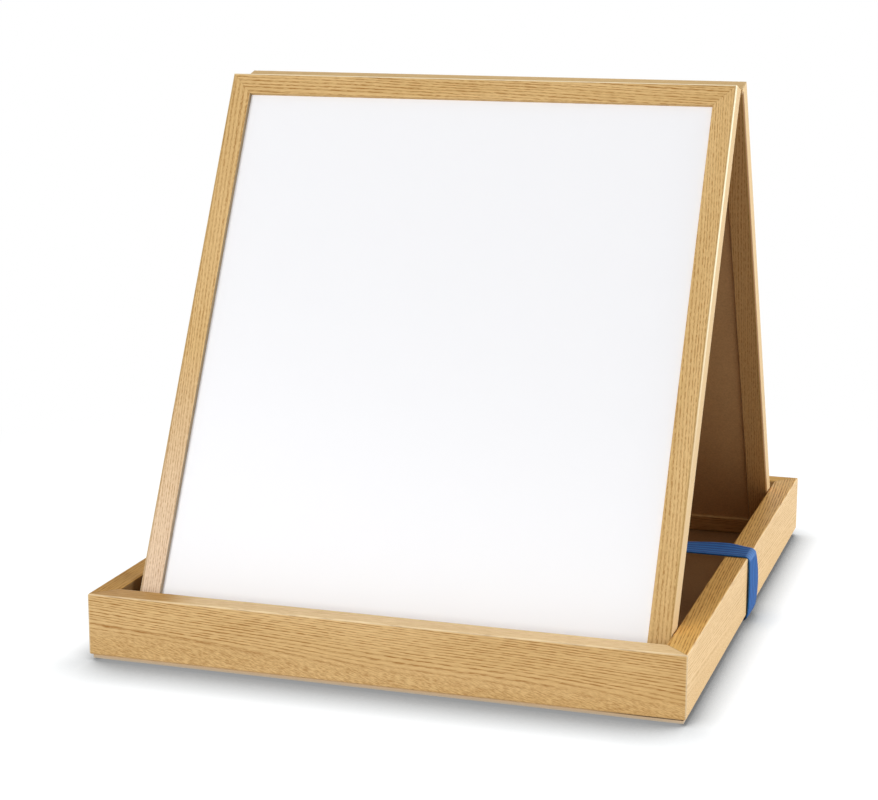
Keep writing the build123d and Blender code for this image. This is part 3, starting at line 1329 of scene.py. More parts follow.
@dataclass(frozen=True)
class ZincPlatedSteel:
    """Bright zinc on pressed steel: a cool grey metal with cloudy reflections and fine drawn lines."""

    colour: str = "#C9CCD0"
    roughness: float = 0.24
    cloud_roughness: float = 0.2  # how much rougher the dull clouds are
    cloud: float = 4 * MM
    line_length: float = 17 * MM
    line_width: float = 0.5 * MM  # real drawn lines are 0.1 mm, too fine to show, so they are wider

    def material(self, name: str) -> bpy.types.Material:
        """Make the zinc plating.

        Args:
            name: The material's name.

        Returns:
            The material.
        """
        material, tree = new_material(name)
        coords = add_node(tree, "ShaderNodeTexCoord")
        drawn = add_node(
            tree,
            "ShaderNodeMapping",
            {
                "Vector": coords.outputs["Object"],
                "Scale": (1 / self.line_length, 1 / self.line_width, 1 / self.line_width),
            },
            vector_type="POINT",
        )
        lines = add_node(
            tree, "ShaderNodeTexNoise", {"Vector": drawn.outputs["Vector"], "Scale": 1.0, "Detail": 2.0}
        )
        clouds = add_node(
            tree,
            "ShaderNodeTexNoise",
            {"Vector": coords.outputs["Object"], "Scale": 1 / self.cloud, "Detail": 2.0},
        )
        roughness = add_node(
            tree,
            "ShaderNodeMapRange",
            {
                "Value": clouds.outputs["Fac"],
                "From Min": 0.3,
                "From Max": 0.7,
                "To Min": self.roughness,
                "To Max": self.roughness + self.cloud_roughness,
            },
        )
        bump = add_node(
            tree,
            "ShaderNodeBump",
            {"Height": lines.outputs["Fac"], "Strength": 0.15, "Distance": 0.05 * MM},
        )
        shader = add_node(
            tree,
            "ShaderNodeBsdfPrincipled",
            {
                "Base Color": linear(self.colour),
                "Metallic": 1.0,
                "Roughness": roughness.outputs["Result"],
                "Normal": bump.outputs["Normal"],
            },
        )
        add_node(tree, "ShaderNodeOutputMaterial", {"Surface": shader.outputs["BSDF"]})
        return material


@dataclass(frozen=True)
class BlackRubber:
    """Moulded rubber: dull near-black with a fine matt grain."""

    colour: str = "#1B1B1C"
    roughness: float = 0.65
    hollow_roughness: float = 0.85  # between the grains
    grain: float = 0.8 * MM  # the mould's own grain is 0.2 mm, too fine to show, so it is coarser

    def material(self, name: str) -> bpy.types.Material:
        """Make the rubber.

        Args:
            name: The material's name.

        Returns:
            The material.
        """
        material, tree = new_material(name)
        coords = add_node(tree, "ShaderNodeTexCoord")
        grain = add_node(
            tree,
            "ShaderNodeTexNoise",
            {"Vector": coords.outputs["Object"], "Scale": 1 / self.grain, "Detail": 2.0},
        )
        roughness = add_node(
            tree,
            "ShaderNodeMapRange",
            {
                "Value": grain.outputs["Fac"],
                "To Min": self.hollow_roughness,
                "To Max": self.roughness,
            },
        )
        bump = add_node(
            tree,
            "ShaderNodeBump",
            {"Height": grain.outputs["Fac"], "Strength": 0.4, "Distance": 0.1 * MM},
        )
        shader = add_node(
            tree,
            "ShaderNodeBsdfPrincipled",
            {
                "Base Color": linear(self.colour),
                "Roughness": roughness.outputs["Result"],
                "Normal": bump.outputs["Normal"],
            },
        )
        add_node(tree, "ShaderNodeOutputMaterial", {"Surface": shader.outputs["BSDF"]})
        return material


@dataclass(frozen=True)
class ElasticWebbing:
    """Woven elastic webbing: mid blue, matt, with rubber cords that raise fine ribs along it."""

    rib: str = "#2866AA"
    hollow: str = "#0A3775"
    underside_shade: str = "#3F4A5E"  # painted shade where it turns under near the desk
    stretched: str = "#7FA6DC"  # painted highlight where it bends over the rail
    fuzz: str = "#9DBBE6"
    bend: float = 271.6 * MM  # how far out and up that is, added together
    bend_width: float = 1.8 * MM
    shaded_below: float = 2.5 * MM
    unshaded_above: float = 5.5 * MM
    rib_pitch: float = 5.0 * MM  # real ribs are 1 mm apart, too fine to show, so they are wider
    pick_pitch: float = 1.5 * MM  # threads across, drawn twice as wide as the real ones
    wear_patch: float = 5.5 * MM
    roughness: float = 0.78

    def material(self, name: str) -> bpy.types.Material:
        """Make the webbing, whose ribs are spaced along Y.

        Args:
            name: The material's name.

        Returns:
            The material.
        """
        material, tree = new_material(name)
        place = add_node(tree, "ShaderNodeTexCoord").outputs["Object"]
        weave = self.weave(tree, place)
        colour = self.highlighted_cloth(tree, place, self.cloth(tree, place, weave))
        bump = add_node(tree, "ShaderNodeBump", {"Height": weave, "Strength": 0.5, "Distance": 0.25 * MM})
        shader = add_node(
            tree,
            "ShaderNodeBsdfPrincipled",
            {
                "Base Color": self.shaded_cloth(tree, place, colour),
                "Roughness": self.roughness,
                "Specular IOR Level": 0.25,
                "Sheen Weight": 0.2,
                "Sheen Roughness": 0.4,
                "Sheen Tint": linear(self.fuzz),
                "Normal": bump.outputs["Normal"],
            },
        )
        add_node(tree, "ShaderNodeOutputMaterial", {"Surface": shader.outputs["BSDF"]})
        return material

    def weave(self, tree: Tree, place: Socket) -> Socket:
        """Draw the ribs along the loop and the threads across it.

        Args:
            tree: The material's node tree.
            place: The place on the object.

        Returns:
            How high the weave stands.
        """
        wave_period = 2 * pi / 20  # of a wave texture at a scale of 1
        parts = add_node(tree, "ShaderNodeSeparateXYZ", {0: place}).outputs
        round_loop = add_node(tree, "ShaderNodeMath", {0: parts["X"], 1: parts["Z"]}, operation="SUBTRACT")
        loop_place = add_node(
            tree, "ShaderNodeCombineXYZ", {"X": round_loop.outputs["Value"], "Y": parts["Y"]}
        ).outputs["Vector"]
        ribs = add_node(
            tree,
            "ShaderNodeTexWave",
            {
                "Vector": loop_place,
                "Scale": wave_period / self.rib_pitch,
                "Distortion": 0.6,
                "Detail": 2.0,
                "Detail Scale": 0.4,
            },
            bands_direction="Y",
        )
        picks = add_node(
            tree,
            "ShaderNodeTexWave",
            {
                "Vector": loop_place,
                "Scale": wave_period / self.pick_pitch,
                "Distortion": 0.4,
                "Detail": 1.0,
            },
            bands_direction="X",
        )
        return add_node(
            tree,
            "ShaderNodeMath",
            {0: picks.outputs["Fac"], 1: 0.25, 2: ribs.outputs["Fac"]},
            operation="MULTIPLY_ADD",
        ).outputs["Value"]

    def cloth(self, tree: Tree, place: Socket, weave: Socket) -> Socket:
        """Colour the weave, a little worn in patches.

        Args:
            tree: The material's node tree.
            place: The place on the object.
            weave: How high the weave stands.

        Returns:
            The colour.
        """
        wear = add_node(
            tree, "ShaderNodeTexNoise", {"Vector": place, "Scale": 1 / self.wear_patch, "Detail": 3.0}
        )
        worn = add_node(
            tree, "ShaderNodeMath", {0: wear.outputs["Fac"], 1: 0.5, 2: weave}, operation="MULTIPLY_ADD"
        )
        share = add_node(
            tree, "ShaderNodeMapRange", {"Value": worn.outputs["Value"], "From Min": 0.25, "From Max": 1.35}
        )
        return add_node(
            tree,
            "ShaderNodeMix",
            {0: share.outputs["Result"], 6: linear(self.hollow), 7: linear(self.rib)},
            data_type="RGBA",
        ).outputs[2]

    def highlighted_cloth(self, tree: Tree, place: Socket, colour: Socket) -> Socket:
        """Paint a highlight on the webbing where it bends over the outer edge of a rail.

        Args:
            tree: The material's node tree.
            place: The place on the object.
            colour: The colour of the webbing.

        Returns:
            The colour.
        """
        parts = add_node(tree, "ShaderNodeSeparateXYZ", {0: place}).outputs
        outward = add_node(tree, "ShaderNodeMath", {0: parts["X"]}, operation="ABSOLUTE")
        out_and_up = add_node(
            tree, "ShaderNodeMath", {0: outward.outputs["Value"], 1: parts["Z"]}, operation="ADD"
        )
        bend = add_node(
            tree,
            "ShaderNodeMapRange",
            {
                "Value": out_and_up.outputs["Value"],
                "From Min": self.bend - self.bend_width,
                "From Max": self.bend,
                "To Max": 0.32,
            },
            interpolation_type="SMOOTHSTEP",
        )
        return add_node(
            tree,
            "ShaderNodeMix",
            {0: bend.outputs["Result"], 6: colour, 7: linear(self.stretched)},
            data_type="RGBA",
        ).outputs[2]

    def shaded_cloth(self, tree: Tree, place: Socket, colour: Socket) -> Socket:
        """Paint shade on the webbing where it comes near the desk.

        Args:
            tree: The material's node tree.
            place: The place on the object.
            colour: The colour of the webbing.

        Returns:
            The colour.
        """
        parts = add_node(tree, "ShaderNodeSeparateXYZ", {0: place})
        shading = add_node(
            tree,
            "ShaderNodeMapRange",
            {
                "Value": parts.outputs["Z"],
                "From Min": self.shaded_below,
                "From Max": self.unshaded_above,
                "To Min": 0.8,
                "To Max": 0.0,
            },
            interpolation_type="SMOOTHSTEP",
        )
        return add_node(
            tree,
            "ShaderNodeMix",
            {0: shading.outputs["Result"], 6: colour, 7: linear(self.underside_shade)},
            data_type="RGBA",
        ).outputs[2]


# ---------------------------------------------------------------- sub-assemblies


@dataclass(frozen=True)
class Tray:
    """The storage tray: four mitred rails on a hardboard floor, with dowels, screws and feet."""

    width: float = 440 * MM
    depth: float = 500 * MM
    floor_top: float = 5.2 * MM
    rail_height: float = 46 * MM
    rail_thickness: float = 18 * MM
    top_skin: float = 0.5 * MM  # depth of the rails that their top washes cover
    dark_end: float = 52 * MM  # length of the front rail's left end, where its top takes little painted reflection
    gap_start: float = 150 * MM  # right of the middle, the floor's edge takes a painted shadow line, as of a gap under the front rail

    def rail_axes(self) -> dict[TrayRail, GrainAxes]:
        """Work out the grain axes of the rails.

        Returns:
            The axes of each rail.
        """
        half_width, half_depth = self.width / 2, self.depth / 2
        across, back = Vector((1, 0, 0)), Vector((0, 1, 0))
        base = Vector((0, 0, self.floor_top))
        return {
            TrayRail.FRONT: GrainAxes(base - back * half_depth, across, back, half_width),
            TrayRail.BACK: GrainAxes(base + back * half_depth, -across, -back, half_width),
            TrayRail.RIGHT: GrainAxes(base + across * half_width, back, -across, half_depth),
            TrayRail.LEFT: GrainAxes(base - across * half_width, -back, across, half_depth),
        }

    def rails(self) -> dict[TrayRail, Member]:
        """Describe the foil of the rails.

        Returns:
            The member that each rail is.
        """
        axes = self.rail_axes()
        top, thickness = self.rail_height, self.rail_thickness
        washed_from = top - self.top_skin
        # painted light and shade: the tops of the back and right rails are tinted more golden than their sides
        painted_top_shading = Wash(0.75, "#ECB75B", washed_from)
        # painted reflection of the white board on the front rail's top: pale cream, dark gold at its left end
        painted_reflection_wash = Wash(
            0.85,
            "#F6D6A2",
            washed_from,
            grain=0.6,
            first_tone="#C39249",
            change=self.dark_end - self.width / 2,
        )
        return {
            TrayRail.FRONT: Member(
                axes[TrayRail.FRONT],
                top,
                thickness,
                Figure.CROWN,
                1.7,
                painted_reflection_wash,
                # painted highlight along the top arris and at the corners
                wear=ArrisHighlight(share=0.3, corners=0.3),
                fade=Fade(0.3, "#C29448"),
                seam=0.3,
                gloss=0.22,
            ),
            TrayRail.BACK: Member(
                axes[TrayRail.BACK], top, thickness, Figure.RIFT, 4.0, painted_top_shading, seam=0.3
            ),
            TrayRail.RIGHT: Member(
                axes[TrayRail.RIGHT],
                top,
                thickness,
                Figure.LONG,
                6.3,
                painted_top_shading,
                # painted highlight along the top arris and at the corners
                wear=ArrisHighlight(share=0.2, corners=0.3),
                # painted light pales the outer side
                outer=OuterSide(fade=0.1, grain=0.6),
                seam=0.3,
                gloss=0.3,
            ),
            TrayRail.LEFT: Member(
                axes[TrayRail.LEFT],
                top,
                thickness,
                Figure.RIFT,
                8.6,
                # painted shade: the left rail's top is tinted darker and golden
                Wash(0.75, "#C79440", washed_from),
                # painted shade on the inner side
                lip=LipShade(0.75, "#5A3E22"),
                seam=0.3,
            ),
        }

    def dress(self, foil: OakFoil) -> None:
        """Give the rails, the floor and what fastens them their materials.

        Args:
            foil: The foil on the rails.
        """
        for side, member in self.rails().items():
            dress(f"tray_{side.value}_rail", foil.material(f"oak foil, {side.value} rail", member))
        floor = Hardboard(face="#B48D5F", fleck="#916D46", gap_start=self.gap_start)
        dress("tray_floor", floor.material("brown hardboard floor"))
        beech = PlainWood("#D9B98C", "#C29C6B", 12 * MM, 0.8 * MM)
        dress("tray_corner_dowels", beech.material("beech dowel"))
        dress("tray_floor_screws", ZincPlatedSteel().material("zinc-plated floor screw"))
        dress("rubber_feet", BlackRubber().material("moulded rubber foot"))


@dataclass(frozen=True)
class Board:
    """One framed magnetic board: mitred members round an enamelled sheet, a core and a backing."""

    side: Side
    width: float = 397 * MM
    height: float = 450 * MM
    top: float = -5.7 * MM  # up the board from the axis of the hinges
    inner_face: float = 2.5 * MM  # out from the axis of the hinges
    outer_face: float = 20.5 * MM
    face_width: float = 16.4 * MM
    inner_skin: float = 0.4 * MM  # depth of the members that their inner wash covers
    dark_strip_width: float = 4.5 * MM  # of the back board's outer sides, next to their inner face
    seed_step: float = 1.9  # between the prints of neighbouring members

    def member_axes(self) -> dict[FrameMember, GrainAxes]:
        """Work out the grain axes of the frame's members.

        Returns:
            The axes of each member.
        """
        plane = self.side.plane()
        half_width, half_height = self.width / 2, self.height / 2
        middle, bottom = self.top - half_height, self.top - self.height
        left, right = plane.at(-half_width, middle), plane.at(half_width, middle)
        return {
            FrameMember.LEFT_STILE: GrainAxes(left, -plane.up, plane.across, half_height),
            FrameMember.RIGHT_STILE: GrainAxes(right, plane.up, -plane.across, half_height),
            FrameMember.TOP_RAIL: GrainAxes(plane.at(0, self.top), -plane.across, -plane.up, half_width),
            FrameMember.BOTTOM_RAIL: GrainAxes(plane.at(0, bottom), plane.across, plane.up, half_width),
        }

    def figure(self, name: FrameMember) -> Figure:
        """Choose the figure of a member's print.

        Args:
            name: The member.

        Returns:
            The figure.
        """
        if name.is_stile():
            return Figure.SLANT
        return Figure.FALL if name is FrameMember.TOP_RAIL else Figure.RIFT

    def wear(self, name: FrameMember) -> ArrisHighlight:
        """Choose the painted highlight of a member's arris: strongest along the ridge and down the front right
        stile.

        Args:
            name: The member.

        Returns:
            The painted highlight.
        """
        if name is FrameMember.TOP_RAIL:
            return ArrisHighlight(share=0.75)
        if self.side is Side.FRONT and name is FrameMember.RIGHT_STILE:
            return ArrisHighlight(share=0.9, reach=2.6 * MM, start=-100 * MM)
        return ArrisHighlight(share=0.15)

    def outer_side(self, name: FrameMember) -> OuterSide:
        """Choose the painted light on the outer side of a member, and the painted shade where its print turns onto
        it.

        Args:
            name: The member.

        Returns:
            The look of the side, which is darker by the inner face on the back board's stiles.
        """
        turn = 0.1 if name is FrameMember.TOP_RAIL else 0.55
        if not name.is_stile():
            return OuterSide(fade=0.12, turn=turn, grain=0.5)
        dark_strip = self.inner_face + self.dark_strip_width if self.side is Side.BACK else 0.0
        return OuterSide(fade=0.35, turn=turn, grain=0.5, dark_strip=dark_strip)

    def members(self) -> dict[FrameMember, Member]:
        """Describe the foil of the frame.

        Returns:
            The member that each piece of the frame is.
        """
        first_seed = 20.0 if self.side is Side.FRONT else 40.0
        wash = Wash(0.8, "#C79A62", high=self.inner_face + self.inner_skin)
        members = {}
        for number, (name, axes) in enumerate(self.member_axes().items()):
            is_left = name is FrameMember.LEFT_STILE
            members[name] = Member(
                axes,
                self.outer_face,
                self.face_width,
                self.figure(name),
                first_seed + self.seed_step * number,
                wash,
                wear=self.wear(name),
                fade=Fade(0.8) if is_left and self.side is Side.FRONT else Fade(),
                outer=self.outer_side(name),
                # painted shade on the left stile's inner side
                lip=LipShade(0.7) if is_left else LipShade(),
                gloss=0.06,
            )
        return members

    def dress(self, foil: OakFoil) -> None:
        """Give the frame, the layers and the fasteners their materials.

        Args:
            foil: The foil on the frame.
        """
        side = self.side.value
        for name, member in self.members().items():
            label = name.value.replace("_", " ")
            dress(f"{side}_{name.value}", foil.material(f"oak foil, {side} {label}", member))
        dress(f"{side}_writing_sheet", WhiteEnamel().material(f"vitreous enamel, {side}"))
        core = PlainWood("#B7976C", "#9C7B53", 2 * MM, 2 * MM)
        dress(f"{side}_core_board", core.material(f"fibreboard core, {side}"))
        backing = Hardboard(
            face="#C89C69",
            fleck="#A57E50",
            edge="#C89C69",
            low_edge="#C89C69",
            face_normal=self.side.plane().out,
        )
        dress(f"{side}_backing_board", backing.material(f"brown hardboard backing, {side}"))
        fastener = ZincPlatedSteel().material(f"zinc-plated fastener, {side}")
        dress(f"{side}_corner_nails", fastener)
        dress(f"{side}_hinge_screws", fastener)


@dataclass(frozen=True)
class Hinges:
    """The two butt hinges along the ridge."""

    pin_roughness: float = 0.14

    def dress(self) -> None:
        """Give the leaves and the pins their plating."""
        leaf = ZincPlatedSteel().material("zinc-plated hinge leaf")
        for hand in Hand:
            for side in Side:
                dress(f"{hand.value}_hinge_{side.value}_leaf", leaf)
        pin = ZincPlatedSteel(roughness=self.pin_roughness)
        dress("hinge_pins", pin.material("zinc-plated hinge pin"))


@dataclass(frozen=True)
class Strap:
    """The elastic strap, a sewn loop of webbing stretched round the tray."""

    half_length: float = 220.9 * MM  # from the middle to its upright runs
    top: float = 52.1 * MM
    bottom: float = 1.1 * MM
    width: float = 26 * MM
    thickness: float = 1.2 * MM
    corner_radius: float = 2.8 * MM
    rolled_edge: float = 0.35 * MM
    front_bow: float = 0.9 * MM  # how far the front edge stands off the rails at mid height
    back_bow: float = 3.1 * MM
    tuck: float = 1.9 * MM  # how far it turns in under the rails, to the edge of the tray's floor
    tuck_start: float = 5.6 * MM
    back_lift: float = 2.2 * MM  # of the back edge over the inner edge of the rails
    lift_place: float = 200 * MM  # how far from the middle it lifts the most
    lift_inside: float = 44 * MM  # how far the lift reaches towards the middle
    lift_outside: float = 19 * MM
    cuts: tuple[tuple[Axis, int], ...] = ((Axis.X, 79), (Axis.Z, 11), (Axis.Y, 9))

    def build(self) -> bpy.types.Object:
        """Make the strap.

        Returns:
            The strap, at the origin, with its shape in its mesh.
        """
        mesh = bmesh.new()
        self.make_loop(mesh)
        self.divide(mesh)
        for vertex in mesh.verts:
            vertex.co += self.slack(vertex.co)
        bmesh.ops.recalc_face_normals(mesh, faces=mesh.faces)
        piece = finish_piece(mesh, "elastic_strap_webbing")
        self.thicken(piece)
        return piece

    def make_loop(self, mesh: bmesh.types.BMesh) -> None:
        """Make the tight loop with its four rounded corners, open at its front and back.

        Args:
            mesh: The empty bmesh that gets it.
        """
        height = self.top - self.bottom
        bmesh.ops.create_cube(mesh, size=1.0)
        bmesh.ops.scale(mesh, vec=(2 * self.half_length, self.width, height), verts=mesh.verts)
        bmesh.ops.translate(mesh, vec=(0, 0, (self.top + self.bottom) / 2), verts=mesh.verts)
        ends = [face for face in mesh.faces if abs(face.normal.y) > 0.9]
        bmesh.ops.delete(mesh, geom=ends, context="FACES_ONLY")
        corners = [edge for edge in mesh.edges if self.runs_along(edge, Axis.Y)]
        bmesh.ops.bevel(
            mesh,
            geom=corners,
            offset=self.corner_radius,
            offset_type="OFFSET",
            affect="EDGES",
            segments=7,
            profile=0.5,
            material=-1,
        )

    def divide(self, mesh: bmesh.types.BMesh) -> None:
        """Divide the loop finely enough to bow, lift and turn under.

        Args:
            mesh: The loop.
        """
        for axis, cuts in self.cuts:
            edges = [
                edge
                for edge in mesh.edges
                if self.runs_along(edge, axis) and edge.calc_length() > 2 * self.corner_radius
            ]
            bmesh.ops.subdivide_edges(mesh, edges=edges, cuts=cuts, use_grid_fill=True)

    def thicken(self, piece: bpy.types.Object) -> None:
        """Give the loop the thickness and the rolled edges of its webbing.

        Args:
            piece: The loop.
        """
        wall = piece.modifiers.new("webbing thickness", "SOLIDIFY")
        wall.thickness = self.thickness
        wall.offset = 0.0
        wall.use_even_offset = True
        edge_bevel = piece.modifiers.new("rolled edges", "BEVEL")
        edge_bevel.width = self.rolled_edge
        edge_bevel.segments = 2
        edge_bevel.limit_method = "ANGLE"
        edge_bevel.angle_limit = radians(50)

    @staticmethod
    def runs_along(edge: bmesh.types.BMEdge, axis: Axis) -> bool:
        """Tell whether an edge runs along an axis.

        Args:
            edge: The edge.
            axis: The axis.

        Returns:
            Whether it does.
        """
        direction = (edge.verts[1].co - edge.verts[0].co).normalized()
        return abs(direction[axis.value]) > 0.999

    def slack(self, point: Vector) -> Vector:
        """Work out how far a point of the tight loop moves as the webbing bows and twists.

        Args:
            point: The point on the tight loop.

        Returns:
            The move.
        """
        hand = 1.0 if point.x > 0 else -1.0
        outward = self.bow(point) - self.turn_under(point)
        return Vector((hand * outward, 0.0, self.lift(point)))

    def toward_back(self, point: Vector) -> float:
        """Return where a point is across the webbing: 0 at its front edge, 1 at its back edge."""
        return 0.5 + point.y / self.width

    def bow(self, point: Vector) -> float:
        """Work out how far the upright runs stand off the rails.

        Args:
            point: The point on the tight loop.

        Returns:
            The distance.
        """
        reach = (abs(point.x) - self.half_length + self.corner_radius) / self.corner_radius
        half_height = (self.top - self.bottom) / 2
        level = (point.z - self.bottom - half_height) / half_height
        most = self.front_bow + (self.back_bow - self.front_bow) * self.toward_back(point)
        return most * max(0.0, reach) * max(0.0, 1 - level * level) ** 0.8

    def lift(self, point: Vector) -> float:
        """Work out how far the upper run lifts at its back edge over the inner edge of a rail.

        Args:
            point: The point on the tight loop.

        Returns:
            The distance.
        """
        if point.z < (self.top + self.bottom) / 2:
            return 0.0
        beyond = abs(point.x) - self.lift_place
        reach = self.lift_outside if beyond > 0 else self.lift_inside
        rise = max(0.0, 1 - (beyond / reach) ** 2)
        return self.back_lift * rise**2 * self.toward_back(point) ** 2

    def turn_under(self, point: Vector) -> float:
        """Work out how far the webbing turns in below the rails.

        Args:
            point: The point on the tight loop.

        Returns:
            The distance.
        """
        below = (self.tuck_start - point.z) / (self.tuck_start - self.bottom)
        return self.tuck * max(0.0, min(1.0, below)) * abs(point.x) / self.half_length

    def dress(self, piece: bpy.types.Object) -> None:
        """Give the strap its webbing and its place on the model.

        Args:
            piece: The strap.
        """
        piece.data.materials.append(ElasticWebbing().material("woven blue elastic"))
        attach(piece, "strap")
        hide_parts("elastic_strap")
        log.info("%s: rides on the strap body", piece.name)


def finish_piece(mesh: bmesh.types.BMesh, name: str) -> bpy.types.Object:
    """Turn a bmesh into a shown object at the origin.

    Args:
        mesh: The finished bmesh, which is freed.
        name: The object's name.

    Returns:
        The object.
    """
    data = bpy.data.meshes.new(name)
    mesh.to_mesh(data)
    mesh.free()
    for polygon in data.polygons:
        polygon.use_smooth = True
    piece = bpy.data.objects.new(name, data)
    bpy.context.scene.collection.objects.link(piece)
    log.info("%s: %d faces", name, len(data.polygons))
    return piece


# ---------------------------------------------------------------- studio


@dataclass(frozen=True)
class Lamp:
    """A soft box: a square lamp that points at the easel."""

    name: str
    place: Vector
    size: float
    level: float  # brightness that it gives a white surface that faces it
    colour: str = "#FFFFFF"

    def build(self, target: Vector) -> None:
        """Make the lamp.

        Args:
            target: The point that it points at.
        """
        light = bpy.data.lights.new(self.name, "AREA")
        light.shape = "SQUARE"
        light.size = self.size
        toward = target - self.place
        light.energy = self.level * pi * pi * toward.length_squared
        light.color = linear(self.colour)[:3]
        lamp = bpy.data.objects.new(self.name, light)
        lamp.location = self.place
        lamp.rotation_euler = toward.to_track_quat("-Z", "Y").to_euler()
        bpy.context.scene.collection.objects.link(lamp)
        log.info("%s: %.1f m across", self.name, self.size)


@dataclass(frozen=True)
class ContactShade:
    """The soft shade round the tray's foot: how far it reaches, how deep it is and how it eases off."""

    side_reach: float = 28.5 * MM
    front_reach: float = 53 * MM
    side_depth: float = 0.18  # brightness of the floor at the tray's foot
    front_depth: float = 0.33
    side_easing: float = 0.45
    front_easing: float = 0.7
    outline: Vector = Vector((212 * MM, 242 * MM, 0.0))  # just inside the tray's outline
    lean: Vector = Vector((-0.4, -0.6, 0.0))  # of the shaded way in from the floor, to each side and front
    rise: Vector = Vector((0.0, 0.0, 0.7))

    def shade(self, tree: Tree, place: Socket) -> Socket:
        """Work out how bright the floor is near the tray.

        Args:
            tree: The floor's node tree.
            place: The place on the floor.

        Returns:
            The brightness, which is 1 away from the tray.
        """
        way_out = self.way_out(tree, place)
        in_front = self.in_front(tree, way_out)
        reach, depth, easing = (
            add_node(tree, "ShaderNodeMapRange", {"Value": in_front, "To Min": side, "To Max": front})
            for side, front in (
                (self.side_reach, self.front_reach),
                (self.side_depth, self.front_depth),
                (self.side_easing, self.front_easing),
            )
        )
        leaning = add_node(
            tree, "ShaderNodeVectorMath", {0: way_out, 1: self.lean, 2: self.rise}, operation="MULTIPLY_ADD"
        )
        contact = add_node(
            tree,
            "ShaderNodeAmbientOcclusion",
            {"Distance": reach.outputs["Result"], "Normal": leaning.outputs["Vector"]},
            samples=16,
        )
        open_sky = add_node(
            tree, "ShaderNodeMapRange", {"Value": contact.outputs["AO"], "From Min": 0.35, "From Max": 0.98}
        )
        eased = add_node(
            tree,
            "ShaderNodeMath",
            {0: open_sky.outputs["Result"], 1: easing.outputs["Result"]},
            operation="POWER",
        )
        return add_node(
            tree, "ShaderNodeMapRange", {"Value": eased.outputs["Value"], "To Min": depth.outputs["Result"]}
        ).outputs["Result"]

    def way_out(self, tree: Tree, place: Socket) -> Socket:
        """Find the way out from the nearest place on the tray's outline.

        Args:
            tree: The floor's node tree.
            place: The place on the floor.

        Returns:
            The way out, one long.
        """
        above_low = add_node(tree, "ShaderNodeVectorMath", {0: place, 1: -self.outline}, operation="MAXIMUM")
        nearest = add_node(
            tree,
            "ShaderNodeVectorMath",
            {0: above_low.outputs["Vector"], 1: self.outline},
            operation="MINIMUM",
        )
        outward = add_node(
            tree, "ShaderNodeVectorMath", {0: place, 1: nearest.outputs["Vector"]}, operation="SUBTRACT"
        )
        return add_node(
            tree, "ShaderNodeVectorMath", {0: outward.outputs["Vector"]}, operation="NORMALIZE"
        ).outputs["Vector"]

    def in_front(self, tree: Tree, way_out: Socket) -> Socket:
        """Tell the front of the tray from its sides.

        Args:
            tree: The floor's node tree.
            way_out: The way out from the tray.

        Returns:
            1 straight in front of the tray, and 0 beside and behind it.
        """
        parts = add_node(tree, "ShaderNodeSeparateXYZ", {0: way_out})
        return add_node(
            tree,
            "ShaderNodeMapRange",
            {"Value": parts.outputs["Y"], "From Min": 0.0, "From Max": -1.0},
            interpolation_type="SMOOTHSTEP",
        ).outputs["Result"]


@dataclass(frozen=True)
class PaperFloor:
    """A sheet of matt white paper, which keeps the easel's soft shadow near the tray."""

    size: float = 12.0
    paper: str = "#E6E6E8"
    glow: str = "#FBFDFE"
    shadow_to: float = 0.4  # from the middle of the tray, where the shadow begins to end
    white_from: float = 0.75
    lit_share: float = 0.25  # of the lamps' light that the camera sees on the paper
    glow_share: float = 0.92
    contact: ContactShade = ContactShade()

    def build(self) -> None:
        """Make the floor."""
        mesh = bmesh.new()
        bmesh.ops.create_grid(mesh, x_segments=1, y_segments=1, size=self.size / 2)
        floor = finish_piece(mesh, "floor")
        floor.data.materials.append(self.material())

    def material(self) -> bpy.types.Material:
        """Make the paper, which the camera sees with its shadow and the lamps see plain.

        Returns:
            The material.
        """
        material, tree = new_material("white paper floor")
        place = add_node(tree, "ShaderNodeTexCoord").outputs["Object"]
        plain = add_node(tree, "ShaderNodeBsdfDiffuse", {"Color": linear(self.paper)})
        surface = add_node(
            tree,
            "ShaderNodeMixShader",
            {0: seen_directly(tree), 1: plain.outputs["BSDF"], 2: self.seen_paper(tree, place)},
        )
        add_node(tree, "ShaderNodeOutputMaterial", {"Surface": surface.outputs["Shader"]})
        return material

    def seen_paper(self, tree: Tree, place: Socket) -> Socket:
        """Make what the camera sees: paper with a shadow near the tray, and plain white far off.

        Args:
            tree: The floor's node tree.
            place: The place on the floor.

        Returns:
            The shader.
        """
        shade = self.contact.shade(tree, place)
        lit = add_node(tree, "ShaderNodeMath", {0: shade, 1: self.lit_share}, operation="MULTIPLY")
        glow_level = add_node(tree, "ShaderNodeMath", {0: shade, 1: self.glow_share}, operation="MULTIPLY")
        near = add_node(tree, "ShaderNodeBsdfDiffuse", {"Color": lit.outputs["Value"]})
        glow = add_node(
            tree,
            "ShaderNodeEmission",
            {"Color": linear(self.glow), "Strength": glow_level.outputs["Value"]},
        )
        shaded = add_node(tree, "ShaderNodeAddShader", {0: near.outputs["BSDF"], 1: glow.outputs["Emission"]})
        white = add_node(tree, "ShaderNodeEmission", {"Strength": 1.0})
        reach = add_node(tree, "ShaderNodeVectorMath", {0: place}, operation="LENGTH")
        far = add_node(
            tree,
            "ShaderNodeMapRange",
            {"Value": reach.outputs["Value"], "From Min": self.shadow_to, "From Max": self.white_from},
            interpolation_type="SMOOTHSTEP",
        )
        return add_node(
            tree,
            "ShaderNodeMixShader",
            {0: far.outputs["Result"], 1: shaded.outputs["Shader"], 2: white.outputs["Emission"]},
        ).outputs["Shader"]


